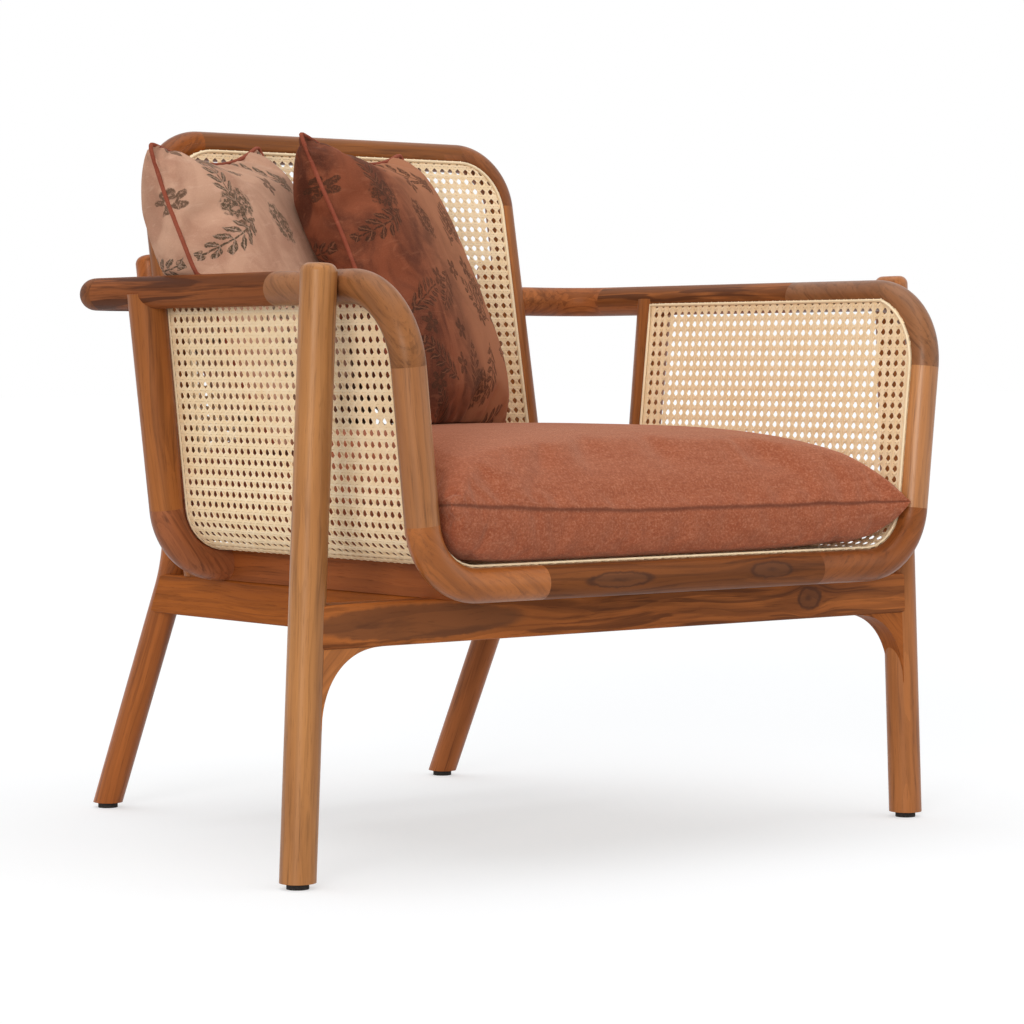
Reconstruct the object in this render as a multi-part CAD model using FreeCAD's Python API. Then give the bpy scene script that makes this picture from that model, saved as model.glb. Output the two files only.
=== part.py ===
import FreeCAD, Part
import math
import os

# A lounge chair: a tub of bent round rod and cane, carried by a four-legged base, with loose cushions.
# Millimetres, +Z up, the front faces -Y. Sizes are measured from the plane of the front legs,
# and the finished pieces are moved so that the origin is the centre of the footprint.

Vector = FreeCAD.Vector
right = Vector(1, 0, 0)
rear = Vector(0, 1, 0)
up = Vector(0, 0, 1)

# Tub of round rod
rod_d = 34.0
rear_rod_d = 36.0
post_top_d = 40.0
arm_x = 351.0
arm_z = 574.0
side_slope = 6.0
front_hoop_y = -88.0
rear_hoop_y = 355.0
seat_bend_r = 66.0
arm_bend_r = 77.0
arm_rear_bend_r = 50.0
arm_past_back = 3.7
arm_joint_y = 116.0
seat_elbow_tail = 78.0

# Base
base_top = 271.0
base_rail_h = 43.0
base_rail_w = 30.0
base_rail_x = 239.0
apron_front_y = -16.0
apron_w = 28.0
rear_apron_w = 26.0
edge_round = 3.0
front_leg_d = 36.0
leg_outside_arm = 32.0
front_leg_splay = 27.0
leg_above_arm = 22.0
leg_dome_r = 9.0
bracket_r = 74.0
bracket_lip = 1.5
bracket_w = 24.0
rear_leg_d = 32.0
rear_foot_y = 621.0
rear_leg_rake = 27.4
rear_leg_above_arm = 45.0
knee_bend_r = 150.0
leg_notch = 2.0
glide_d = 22.0
glide_h = 6.0

# Back frame
back_rod_d = 33.0
back_x = 238.0
back_foot_y = 429.0
back_lean = 10.7
back_length = 478.0
back_corner_r = 58.0
back_rail_rise = 72.0

# Cane
cane_t = 2.0
cane_rebate = 1.0
cane_below_arm = 4.0
cane_rear_gap = 12.0
edging_w = 4.5
edging_t = 1.2
cane_opening = 17.0
cane_opening_count = 12
back_opening_rows = 10
side_opening_rows = 6

# Hidden fastenings
dowel_d = 10.0
dowel_length = 40.0
screw_d = 5.0
screw_head_d = 10.0
screw_head_h = 4.0
screw_bite = 20.0
screw_y_front = 60.0
screw_y_rear = 290.0

# Seat cushion
cushion_gap = 0.3
seat_side_gap = 5.7
seat_overhang = 15.0
seat_rear_gap = 9.9
seat_seam_rise = 48.0
seat_crown = 78.0
seat_crown_reach = 166.0
seat_under_reach = 62.0
seat_draw = 14.0

# How a stuffed face rises from its seam: shares of its reach inwards and of its height
crown_steps = ((0.0, 0.0), (0.06, 0.30), (0.23, 0.66), (0.57, 0.91), (1.0, 1.0))
draw_floor = 0.5

# Loose pillows
pillow_w = 325.0
pillow_h = 342.0
pillow_half_t = 56.0
pillow_crown_reach = 97.0
pillow_draw = 24.0
pillow_squeeze = 0.6
pillow_arm_gap = 3.0
pillow_yaw = 34.0
pillow_lean = 22.5
left_pillow_from_arm = 141.0
left_pillow_from_back = 75.0
left_pillow_rise = 144.5
left_pillow_roll = 3.0
middle_pillow_off_centre = 24.0
middle_pillow_from_back = 78.0
middle_pillow_rise = 159.3
middle_pillow_roll = -1.0

# Values worked out from the sizes above
slope = math.radians(side_slope)
lean = math.radians(back_lean)
side_down = Vector(-math.sin(slope), 0, -math.cos(slope))
back_up = Vector(0, math.sin(lean), math.cos(lean))
back_front = Vector(0, -math.cos(lean), math.sin(lean))
front_rail_z = base_top + rod_d / 2
rear_rail_z = base_top + rear_rod_d / 2
cane_out = rod_d / 2 - cane_rebate
cane_in = cane_out + cane_t
seat_z = front_rail_z + cane_in + edging_t
seat_seam_z = seat_z + cushion_gap + seat_seam_rise
seat_crown_z = seat_seam_z + seat_crown
back_cane_out = back_rod_d / 2 - cane_rebate
back_foot = Vector(back_x, back_foot_y, base_top)
apron_mid_y = apron_front_y + apron_w / 2
rear_arm_y = back_foot_y + (arm_z - base_top) * math.tan(lean) + arm_past_back
front_leg_top_x = arm_x + leg_outside_arm
front_foot_x = front_leg_top_x + front_leg_splay
front_leg_top_z = arm_z + leg_above_arm
rear_leg_top_z = arm_z + rear_leg_above_arm
front_leg_run = Vector(front_leg_top_x - front_foot_x, 0, front_leg_top_z)
cane_front_y = front_hoop_y
cane_rear_y = rear_hoop_y - cane_rear_gap
far = 2000.0


def side_point(z, y, inset=0.0):
    """A point of the right side line of the hoops at a height, moved inwards square to the line."""
    x = arm_x - (arm_z - z) * math.tan(slope) - inset / math.cos(slope)
    return Vector(x, y, z)


seat_half_w = side_point(seat_seam_z, 0, cane_in + edging_t).x - seat_side_gap
seat_front_y = front_hoop_y - seat_overhang
back_face_y = (
    back_foot_y
    + (seat_seam_z - base_top) * math.tan(lean)
    - (back_cane_out + cane_t + edging_t) / math.cos(lean)
)
seat_rear_y = back_face_y - seat_rear_gap
left_pillow_at = Vector(
    left_pillow_from_arm - arm_x,
    seat_rear_y - left_pillow_from_back,
    seat_crown_z + left_pillow_rise,
)
middle_pillow_at = Vector(
    -middle_pillow_off_centre,
    seat_rear_y - middle_pillow_from_back,
    seat_crown_z + middle_pillow_rise,
)


def rod(start, end, start_d, end_d=None):
    run = end - start
    if end_d is None:
        return Part.makeCylinder(start_d / 2, run.Length, start, run)
    return Part.makeCone(start_d / 2, end_d / 2, run.Length, start, run)


def tangent_length(way_in, way_out, radius):
    return radius * math.tan(way_in.getAngle(way_out) / 2)


def bend(corner, way_in, way_out, radius, diameter):
    """A quarter-like turn of round rod about a corner of its centre line."""
    start = corner - way_in * tangent_length(way_in, way_out, radius)
    inward = way_out - way_in * way_out.dot(way_in)
    inward.normalize()
    disc = Part.Face(Part.Wire(Part.makeCircle(diameter / 2, start, way_in)))
    turn = math.degrees(way_in.getAngle(way_out))
    return disc.revolve(start + inward * radius, way_in.cross(way_out), turn)


def mirrored(shape):
    return shape.mirror(Vector(0, 0, 0), right)


def joined(*shapes):
    return shapes[0].multiFuse(list(shapes[1:])).removeSplitter()


def block(low, high, rounding=0.0):
    size = high - low
    shape = Part.makeBox(size.x, size.y, size.z, low)
    if rounding:
        shape = shape.makeFillet(rounding, shape.Edges)
    return shape


def edges_along(shape, way):
    return [edge for edge in shape.Edges if edge.tangentAt(edge.FirstParameter).cross(way).Length < 1e-6]


def largest(shape):
    return max(shape.Solids, key=lambda solid: solid.Volume)


def dowel(point, way):
    way = Vector(way).normalize()
    return Part.makeCylinder(dowel_d / 2, dowel_length, point - way * (dowel_length / 2), way)


# Tub rods, right side


def seat_elbow(y, rail_z, diameter):
    """The bend from a side upright into a seat rail, with a straight tail along the rail."""
    corner = side_point(rail_z, y)
    tangent = tangent_length(side_down, -right, seat_bend_r)
    tail_start = corner - right * tangent
    tail_end = tail_start - right * seat_elbow_tail
    turn = bend(corner, side_down, -right, seat_bend_r, diameter)
    return joined(turn, rod(tail_start, tail_end, diameter)), corner - side_down * tangent, tail_end


front_elbow, front_elbow_top, front_tail_end = seat_elbow(front_hoop_y, front_rail_z, rod_d)
rear_elbow, rear_elbow_top, rear_tail_end = seat_elbow(rear_hoop_y, rear_rail_z, rear_rod_d)

arm_corner = side_point(arm_z, front_hoop_y)
upright_top = arm_corner + side_down * arm_bend_r
arm_bend_end = arm_corner + rear * arm_bend_r
arm_joint = Vector(arm_x, arm_joint_y, arm_z)
arm_rear_corner = Vector(arm_x, rear_arm_y, arm_z)
arm_rail_end = arm_rear_corner - rear * arm_rear_bend_r
rear_run_start = arm_rear_corner - right * arm_rear_bend_r
post_top = side_point(arm_z, rear_hoop_y)

front_upright = rod(upright_top, front_elbow_top, rod_d)
arm_front = joined(
    bend(arm_corner, -rear, side_down, arm_bend_r, rod_d),
    rod(arm_bend_end, arm_joint, rod_d),
)
arm_rail = rod(arm_joint, arm_rail_end, rod_d)
rear_post = rod(rear_elbow_top, post_top, rear_rod_d, post_top_d).cut(arm_rail)
front_seat_rail = rod(mirrored(Part.Vertex(front_tail_end)).Point, front_tail_end, rod_d)
rear_seat_rail = rod(mirrored(Part.Vertex(rear_tail_end)).Point, rear_tail_end, rear_rod_d)


# Back frame


def back_point(x, rise, forward=0.0):
    return Vector(x, back_foot_y, base_top) + back_up * rise + back_front * forward


below_base = block(Vector(-far, -far, -far), Vector(far, far, base_top))
corner_start = back_point(back_x, back_length - back_corner_r)
back_corner_top = back_point(back_x, back_length)
corner_end = back_corner_top - right * back_corner_r

back_stile = rod(back_foot - back_up * back_rod_d, corner_start, back_rod_d).cut(below_base)
back_corner = bend(back_corner_top, back_up, -right, back_corner_r, back_rod_d)
back_top_rail = rod(corner_end - right * (2 * corner_end.x), corner_end, back_rod_d)
back_bottom_rail = rod(back_point(-back_x, back_rail_rise), back_point(back_x, back_rail_rise), back_rod_d)
back_bottom_rail = back_bottom_rail.cut(back_stile).cut(mirrored(back_stile))
arm_rear = joined(
    bend(arm_rear_corner, rear, -right, arm_rear_bend_r, rod_d),
    rod(rear_run_start, Vector(back_x, rear_arm_y, arm_z), rod_d),
).cut(back_stile)


# Base


def front_leg_axis(z):
    return Vector(front_foot_x, 0, 0) + front_leg_run * (z / front_leg_top_z)


def round_post(path, diameter, dome_r):
    """Round stock along a path, with a domed far end and its foot cut level above the glide."""
    start = path.Vertexes[0].Point
    way = path.Edges[0].tangentAt(path.Edges[0].FirstParameter)
    section = Part.Wire(Part.makeCircle(diameter / 2, start, way))
    post = path.makePipeShell([section], True, False)
    tip = path.Vertexes[-1].Point
    tip_edges = [edge for edge in post.Edges if (edge.CenterOfMass - tip).Length < 1e-3]
    post = post.makeFillet(dome_r, tip_edges)
    return post.cut(block(Vector(-far, -far, -far), Vector(far, far, glide_h)))


front_leg_path = Part.Wire([Part.makeLine(front_leg_axis(-front_leg_d), front_leg_axis(front_leg_top_z))])
front_leg = round_post(front_leg_path, front_leg_d, leg_dome_r).cut(arm_front)

leg_spacing = (back_rod_d + rear_leg_d) / 2 - leg_notch
rake = math.radians(rear_leg_rake)
upper_y = back_foot_y + leg_spacing / math.cos(lean)
knee_z = (rear_foot_y - upper_y + base_top * math.tan(lean)) / (math.tan(lean) + math.tan(rake))
knee = Vector(back_x, rear_foot_y - knee_z * math.tan(rake), knee_z)
leg_up = Vector(0, -math.sin(rake), math.cos(rake))


def rear_leg_axis(z):
    return Vector(back_x, rear_foot_y - z * math.tan(rake), z)


def rear_leg_path():
    tangent = tangent_length(leg_up, back_up, knee_bend_r)
    lower_end = knee - leg_up * tangent
    upper_start = knee + back_up * tangent
    middle_way = (back_up - leg_up).normalize()
    half_turn = leg_up.getAngle(back_up) / 2
    middle = knee + middle_way * (knee_bend_r / math.cos(half_turn) - knee_bend_r)
    tip = knee + back_up * ((rear_leg_top_z - knee_z) / math.cos(lean))
    return Part.Wire([
        Part.makeLine(rear_leg_axis(-rear_leg_d), lower_end),
        Part.Arc(lower_end, middle, upper_start).toShape(),
        Part.makeLine(upper_start, tip),
    ])


rear_leg = round_post(rear_leg_path(), rear_leg_d, leg_dome_r).cut(back_stile)
arm_rear = arm_rear.cut(rear_leg)
back_bottom_rail = back_bottom_rail.cut(rear_leg).cut(mirrored(rear_leg))

base_low = base_top - base_rail_h
front_apron = largest(block(
    Vector(-front_foot_x, apron_front_y, base_low),
    Vector(front_foot_x, apron_front_y + apron_w, base_top),
    edge_round,
).cut(front_leg).cut(mirrored(front_leg)))
base_rail = block(
    Vector(base_rail_x - base_rail_w / 2, apron_front_y + apron_w, base_low),
    Vector(base_rail_x + base_rail_w / 2, rear_leg_axis(base_low).y, base_top),
)
base_rail = base_rail.makeFillet(edge_round, edges_along(base_rail, rear))
base_rail = largest(base_rail.cut(rear_leg))
rear_apron_y = rear_leg_axis((base_low + base_top) / 2).y
rear_apron = largest(block(
    Vector(-back_x, rear_apron_y - rear_apron_w / 2, base_low),
    Vector(back_x, rear_apron_y + rear_apron_w / 2, base_top),
).cut(rear_leg).cut(mirrored(rear_leg)).cut(base_rail).cut(mirrored(base_rail)))


def corner_bracket():
    """A block in the corner of leg and apron, with a concave lower edge."""
    low = base_low - bracket_r
    axis_x = front_leg_axis(base_low).x
    tip_x = front_leg_axis(low).x - front_leg_d / 2 - bracket_lip
    face_y = apron_mid_y - bracket_w / 2
    start = Vector(tip_x - bracket_r, face_y, base_low)
    tip = Vector(tip_x, face_y, low)
    part_way = math.cos(math.radians(45)) * bracket_r
    middle = Vector(tip_x - bracket_r + part_way, face_y, low + part_way)
    foot = Vector(axis_x, face_y, low)
    top = Vector(axis_x, face_y, base_low)
    outline = Part.Wire([
        Part.Arc(start, middle, tip).toShape(),
        Part.makeLine(tip, foot),
        Part.makeLine(foot, top),
        Part.makeLine(top, start),
    ])
    return Part.Face(outline).extrude(rear * bracket_w).cut(front_leg)


def tub_rail():
    """A square rail under the seat cane, between the two hoops and on the base rail."""
    shape = block(
        Vector(base_rail_x - base_rail_w / 2, front_hoop_y, base_top),
        Vector(base_rail_x + base_rail_w / 2, rear_hoop_y, front_rail_z + cane_out),
    )
    return largest(shape.cut(front_elbow).cut(rear_elbow))


def glides():
    front = front_leg_axis(glide_h)
    back = rear_leg_axis(glide_h)
    pads = []
    for foot in (front, back):
        for side in (-1, 1):
            pads.append(Part.makeCylinder(glide_d / 2, glide_h, Vector(side * foot.x, foot.y, 0)))
    return pads


# Cane


def hoop_points(offset, top_z, y):
    """Points of the tub's U line in a plane across it, moved inwards from the rods' centre line."""
    low_z = front_rail_z + offset
    radius = seat_bend_r - offset
    corner = side_point(low_z, y, offset)
    tangent = tangent_length(side_down, -right, radius)
    side_end = corner - side_down * tangent
    seat_start = corner - right * tangent
    toward = (-right - side_down).normalize()
    half_turn = side_down.getAngle(-right) / 2
    middle = corner + toward * (radius / math.cos(half_turn) - radius)
    return side_point(top_z, y, offset), side_end, middle, seat_start


def u_section(outer, inner, top_z, y):
    """A closed U-shaped section between two offsets."""
    def edges(offset):
        side_top, side_end, middle, seat_start = hoop_points(offset, top_z, y)
        flip = [Vector(-point.x, point.y, point.z) for point in (side_top, side_end, middle, seat_start)]
        run = [
            Part.makeLine(flip[0], flip[1]),
            Part.Arc(flip[1], flip[2], flip[3]).toShape(),
            Part.makeLine(flip[3], seat_start),
            Part.Arc(seat_start, middle, side_end).toShape(),
            Part.makeLine(side_end, side_top),
        ]
        return run, flip[0], side_top
    outer_run, outer_left, outer_right = edges(outer)
    inner_run, inner_left, inner_right = edges(inner)
    caps = [Part.makeLine(outer_left, inner_left), Part.makeLine(outer_right, inner_right)]
    return Part.Face(Part.Wire(Part.__sortEdges__(outer_run + inner_run + caps)))


def side_outline(inset):
    """The cane's outline seen from the side: its front top corner follows the bend of the arm."""
    low_z = front_rail_z
    top_z = arm_z - cane_below_arm - inset
    front = cane_front_y + inset
    back = cane_rear_y - inset
    radius = arm_bend_r - inset
    centre_y = cane_front_y + arm_bend_r
    centre_z = arm_z - arm_bend_r
    reach = math.sqrt(radius ** 2 - (top_z - centre_z) ** 2)
    angle = (math.pi + math.atan2(top_z - centre_z, -reach)) / 2
    points = [
        Vector(0, front, low_z),
        Vector(0, front, centre_z),
        Vector(0, centre_y + radius * math.cos(angle), centre_z + radius * math.sin(angle)),
        Vector(0, centre_y - reach, top_z),
        Vector(0, back, top_z),
        Vector(0, back, low_z),
    ]
    outline = Part.Wire([
        Part.makeLine(points[0], points[1]),
        Part.Arc(points[1], points[2], points[3]).toShape(),
        Part.makeLine(points[3], points[4]),
        Part.makeLine(points[4], points[5]),
        Part.makeLine(points[5], points[0]),
    ])
    face = Part.Face(outline)
    face.translate(right * -far)
    return face.extrude(right * (2 * far))


def tub_shell(outer, inner):
    shell = u_section(outer, inner, arm_z, cane_front_y)
    return shell.extrude(rear * (cane_rear_y - cane_front_y))


tub_cane = tub_shell(cane_out, cane_in).common(side_outline(0))
tub_edging = tub_shell(cane_in, cane_in + edging_t).common(side_outline(0))


def edging_inside():
    """The inner edge of the tub's edging, open downwards so that it also runs across the seat."""
    inner = side_outline(edging_w)
    middle = block(
        Vector(-far, cane_front_y + edging_w, 0),
        Vector(far, cane_rear_y - edging_w, arm_z - arm_bend_r),
    )
    return inner.fuse(middle)


tub_edging = tub_edging.cut(edging_inside())


def back_sheet(inset, forward, thickness):
    """A sheet on the front of the back frame, with round top corners."""
    x = back_x - inset
    low = back_rail_rise + inset
    high = back_length - inset
    radius = back_corner_r - inset
    part_way = radius * (1 - math.cos(math.radians(45)))
    outline = Part.Wire([
        Part.makeLine(back_point(-x, low, forward), back_point(x, low, forward)),
        Part.makeLine(back_point(x, low, forward), back_point(x, high - radius, forward)),
        Part.Arc(
            back_point(x, high - radius, forward),
            back_point(x - part_way, high - part_way, forward),
            back_point(x - radius, high, forward),
        ).toShape(),
        Part.makeLine(back_point(x - radius, high, forward), back_point(radius - x, high, forward)),
        Part.Arc(
            back_point(radius - x, high, forward),
            back_point(part_way - x, high - part_way, forward),
            back_point(-x, high - radius, forward),
        ).toShape(),
        Part.makeLine(back_point(-x, high - radius, forward), back_point(-x, low, forward)),
    ])
    return Part.Face(outline).extrude(back_front * thickness)


def spread(low, high, count):
    """Middles of a number of openings of equal pitch between two limits."""
    pitch = (high - low) / count
    return [low + pitch * (index + 0.5) for index in range(count)]


def inside_corner(across, rise, radius):
    """Whether an opening, placed from the centre of a rounded corner, stays inside the corner."""
    half = cane_opening / 2
    return min(across, rise) + half <= 0 or math.hypot(across + half, rise + half) <= radius


def tub_openings():
    """The grid of openings in the woven sheet: through both sides, and down through the seat."""
    half = cane_opening / 2
    front = front_hoop_y + rod_d / 2
    back = rear_hoop_y - post_top_d / 2
    side_low = front_rail_z + seat_bend_r
    side_high = arm_z - rod_d / 2
    seat_reach = base_rail_x - base_rail_w / 2
    tools = []
    for y in spread(front, back, cane_opening_count):
        for z in spread(side_low, side_high, side_opening_rows):
            past_y = front_hoop_y + arm_bend_r - y
            past_z = z - (arm_z - arm_bend_r)
            if inside_corner(past_y, past_z, arm_bend_r - rod_d / 2):
                tools.append(block(Vector(-far, y - half, z - half), Vector(far, y + half, z + half)))
        for x in spread(-seat_reach, seat_reach, cane_opening_count):
            low = Vector(x - half, y - half, base_top)
            tools.append(block(low, Vector(x + half, y + half, seat_seam_z)))
    return tools


def back_openings():
    """The same grid through the sheet of the back."""
    half = cane_opening / 2
    reach = back_x - back_rod_d / 2
    low = back_rail_rise + back_rod_d / 2
    high = back_length - back_rod_d / 2
    tools = []
    for x in spread(-reach, reach, cane_opening_count):
        for rise in spread(low, high, back_opening_rows):
            past_x = abs(x) - (back_x - back_corner_r)
            past_rise = rise - (back_length - back_corner_r)
            if inside_corner(past_x, past_rise, back_corner_r - back_rod_d / 2):
                tool = Part.makePolygon([
                    back_point(x - half, rise - half),
                    back_point(x + half, rise - half),
                    back_point(x + half, rise + half),
                    back_point(x - half, rise + half),
                    back_point(x - half, rise - half),
                ])
                tools.append(Part.Face(tool).extrude(back_front * back_rod_d))
    return tools


back_cane = back_sheet(0, back_cane_out, cane_t)
back_edging = back_sheet(0, back_cane_out + cane_t, edging_t)
back_edging = back_edging.cut(back_sheet(edging_w, back_cane_out + cane_t, edging_t))


# Hidden fastenings


def joint_dowels():
    places = [
        (front_tail_end, right),
        (rear_tail_end, right),
        (front_elbow_top, side_down),
        (upright_top, side_down),
        (rear_elbow_top, side_down),
        (post_top + side_down * (rod_d / 2 + dowel_length / 4), side_down),
        (arm_joint, rear),
        (arm_rail_end, rear),
        (corner_start, back_up),
        (corner_end, right),
        (back_foot, back_up),
        (back_point(back_x - back_rod_d / 2, back_rail_rise), right),
        (Vector(back_x + back_rod_d / 2, rear_arm_y, arm_z), right),
    ]
    pins = [dowel(point, way) for point, way in places]
    return pins + [mirrored(pin) for pin in pins]


def rail_screws():
    """Countersunk screws that hold each tub rail down on its base rail."""
    screws = []
    for side in (-1, 1):
        for y in (screw_y_front, screw_y_rear):
            foot = Vector(side * base_rail_x, y, base_low)
            head = Part.makeCone(screw_head_d / 2, screw_d / 2, screw_head_h, foot)
            shank = Part.makeCylinder(screw_d / 2, base_rail_h + screw_bite, foot)
            screws.append(joined(head, shank))
    return screws


# Soft goods


def drawn_outline(half_w, low, high, draw, height):
    """Four arcs between pointed corners, each drawn in at its middle."""
    corners = [
        Vector(-half_w, low, height),
        Vector(half_w, low, height),
        Vector(half_w, high, height),
        Vector(-half_w, high, height),
    ]
    middles = [
        Vector(0, low + draw, height),
        Vector(half_w - draw, (low + high) / 2, height),
        Vector(0, high - draw, height),
        Vector(draw - half_w, (low + high) / 2, height),
    ]
    arcs = []
    for index in range(4):
        arcs.append(Part.Arc(corners[index], middles[index], corners[(index + 1) % 4]).toShape())
    return Part.Wire(arcs)


def stuffed_half(half_w, low, high, draw, rings):
    """One face of a stuffed cover, lofted from its seam to its crown through inset, height pairs."""
    wires = []
    seam_inset = rings[-1][0]
    for inset, height in rings:
        ring_draw = draw * (1 - inset / seam_inset) + draw_floor
        wires.append(drawn_outline(half_w - inset, low + inset, high - inset, ring_draw, height))
    return Part.makeLoft(wires, True, False)


def crown_rings(height, reach):
    """Inset and height pairs of a crowned face: steep at the seam, flat over the middle."""
    return [(inset * reach, share * height) for inset, share in crown_steps]


def seat_cushion():
    over = crown_rings(seat_crown, seat_crown_reach)
    under = crown_rings(-seat_seam_rise, seat_under_reach)
    top = stuffed_half(seat_half_w, seat_front_y, seat_rear_y, seat_draw, over)
    bottom = stuffed_half(seat_half_w, seat_front_y, seat_rear_y, seat_draw, under)
    cushion = joined(top, bottom)
    cushion.translate(up * seat_seam_z)
    return cushion


def arm_room():
    """The space that the left arm and the cane below it take, with the pillow's clearance."""
    clear = cane_in + edging_t + pillow_arm_gap
    low = side_point(base_top, -far, clear)
    high = side_point(arm_z, -far, clear)
    outline = Part.makePolygon([
        Vector(-low.x, -far, low.z),
        Vector(-high.x, -far, high.z),
        Vector(-far, -far, high.z),
        Vector(-far, -far, low.z),
        Vector(-low.x, -far, low.z),
    ])
    below = Part.Face(outline).extrude(rear * (2 * far))
    arm = Part.makeCylinder(rod_d / 2 + pillow_arm_gap, 2 * far, Vector(-arm_x, -far, arm_z), rear)
    return below.fuse(arm)


def pillow(place, roll, grow=0.0):
    """A square stuffed cover that leans back in the chair's left corner."""
    half_w = pillow_w / 2 + grow
    half_h = pillow_h / 2 + grow
    over = crown_rings(pillow_half_t + grow, pillow_crown_reach)
    under = [(inset, -height) for inset, height in over]
    top = stuffed_half(half_w, -half_h, half_h, pillow_draw, over)
    bottom = stuffed_half(half_w, -half_h, half_h, pillow_draw, under)
    cover = joined(top, bottom)
    stand = FreeCAD.Rotation(right, 90 - pillow_lean)
    turn = FreeCAD.Rotation(up, pillow_yaw)
    tilt = FreeCAD.Rotation(up, roll)
    cover.Placement = FreeCAD.Placement(place, turn.multiply(stand).multiply(tilt))
    return cover


seat = seat_cushion()
middle_pillow = pillow(middle_pillow_at, middle_pillow_roll)
dent = pillow(middle_pillow_at, middle_pillow_roll, pillow_squeeze)
left_pillow = largest(pillow(left_pillow_at, left_pillow_roll).cut(arm_room()).cut(dent))

# The pieces, with right-hand ones mirrored to the left

dowels = Part.makeCompound(joint_dowels())
screws = Part.makeCompound(rail_screws())
bracket = corner_bracket()
strip = tub_rail()

paired = {
    "front_{}_leg": front_leg,
    "rear_{}_leg": rear_leg,
    "front_{}_bracket": bracket,
    "{}_base_rail": base_rail.cut(dowels).cut(screws),
    "{}_tub_rail": strip.cut(screws),
    "front_{}_upright": front_upright.cut(tub_cane).cut(dowels),
    "front_{}_seat_elbow": front_elbow.cut(tub_cane).cut(dowels),
    "rear_{}_seat_elbow": rear_elbow.cut(tub_cane).cut(dowels),
    "rear_{}_post": rear_post.cut(tub_cane).cut(dowels),
    "{}_arm_front_elbow": arm_front.cut(tub_cane).cut(dowels),
    "{}_arm_rail": arm_rail.cut(tub_cane).cut(dowels),
    "{}_arm_rear_elbow": arm_rear.cut(dowels),
    "back_{}_stile": back_stile.cut(back_cane).cut(dowels),
    "back_{}_corner": back_corner.cut(back_cane).cut(dowels),
}
single = {
    "front_apron": front_apron,
    "rear_apron": rear_apron,
    "front_seat_rail": front_seat_rail.cut(tub_cane).cut(dowels),
    "rear_seat_rail": rear_seat_rail.cut(tub_cane).cut(dowels),
    "back_top_rail": back_top_rail.cut(back_cane).cut(dowels),
    "back_bottom_rail": back_bottom_rail.cut(back_cane).cut(dowels),
    "tub_cane": tub_cane.cut(tub_openings()),
    "tub_cane_edging": tub_edging,
    "back_cane": back_cane.cut(back_openings()),
    "back_cane_edging": back_edging,
    "joint_dowels": dowels,
    "rail_screws": screws,
    "foot_glides": Part.makeCompound(glides()),
    "seat_cushion": seat,
    "left_pillow": left_pillow,
    "middle_pillow": middle_pillow,
}

pieces = dict(single)
for name, shape in paired.items():
    pieces[name.format("right")] = shape
    pieces[name.format("left")] = mirrored(shape)

rear_reach = rear_leg_axis(glide_h).y + rear_leg_d / 2 / math.cos(rake)
front_reach = front_hoop_y - rod_d / 2
footprint_centre = (rear_reach + front_reach) / 2

os.makedirs("parts", exist_ok=True)
for name, shape in pieces.items():
    placed = shape.copy()
    placed.translate(rear * -footprint_centre)
    placed.exportStep(f"parts/{name}.step")
    print(f"{name}: {len(placed.Solids)} solid, {placed.Volume / 1000:.1f} cm3, valid {placed.isValid()}")
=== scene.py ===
import bpy
import bmesh
import math
import random
from mathutils import Euler, Matrix, Vector, noise
from mathutils.bvhtree import BVHTree


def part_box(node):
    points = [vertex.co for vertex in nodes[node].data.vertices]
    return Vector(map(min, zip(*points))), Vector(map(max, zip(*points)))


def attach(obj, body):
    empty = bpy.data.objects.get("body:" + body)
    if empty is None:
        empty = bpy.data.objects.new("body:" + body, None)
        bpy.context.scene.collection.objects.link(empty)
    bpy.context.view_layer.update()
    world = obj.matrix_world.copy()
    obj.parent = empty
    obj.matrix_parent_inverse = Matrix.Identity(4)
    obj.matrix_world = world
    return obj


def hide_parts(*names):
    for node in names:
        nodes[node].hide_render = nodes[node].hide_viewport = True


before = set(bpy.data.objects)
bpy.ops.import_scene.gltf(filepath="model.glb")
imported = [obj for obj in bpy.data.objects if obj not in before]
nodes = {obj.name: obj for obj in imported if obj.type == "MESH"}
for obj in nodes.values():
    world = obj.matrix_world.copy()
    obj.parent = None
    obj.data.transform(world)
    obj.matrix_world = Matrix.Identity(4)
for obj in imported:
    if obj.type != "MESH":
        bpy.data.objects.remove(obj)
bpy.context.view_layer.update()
footprintShift = Vector((0, -0.265456, 0))  # from the front-leg plane to the footprint centre
print("frame loaded:", len(nodes), "nodes")


# small helpers for shader trees and meshes

def feed(tree, node, links):  # joins the sockets among the values and sets the rest
    for key, value in links.items():
        if isinstance(value, bpy.types.NodeSocket):
            tree.links.new(value, node.inputs[key])
        else:
            node.inputs[key].default_value = value


def addNode(tree, kind, links=None, **settings):
    node = tree.nodes.new(kind)
    for key, value in settings.items():
        setattr(node, key, value)
    feed(tree, node, links or {})
    return node


def calc(tree, operation, *values, clamp=False):
    links = dict(enumerate(values))
    return addNode(tree, "ShaderNodeMath", links, operation=operation, use_clamp=clamp).outputs[0]


def times(tree, first, second):
    return calc(tree, "MULTIPLY", first, second)


def vectorCalc(tree, operation, *values):
    return addNode(tree, "ShaderNodeVectorMath", dict(enumerate(values)), operation=operation).outputs[0]


def stretch(tree, vector, amounts):
    return vectorCalc(tree, "MULTIPLY", vector, amounts)


def between(tree, value, low, high, toLow=0.0, toHigh=1.0):
    links = {"Value": value, "From Min": low, "From Max": high, "To Min": toLow, "To Max": toHigh}
    return addNode(tree, "ShaderNodeMapRange", links, interpolation_type="SMOOTHSTEP").outputs[0]


def mixColour(tree, share, first, second):
    return addNode(tree, "ShaderNodeMix", {0: share, 6: first, 7: second}, data_type="RGBA").outputs[2]


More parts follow.
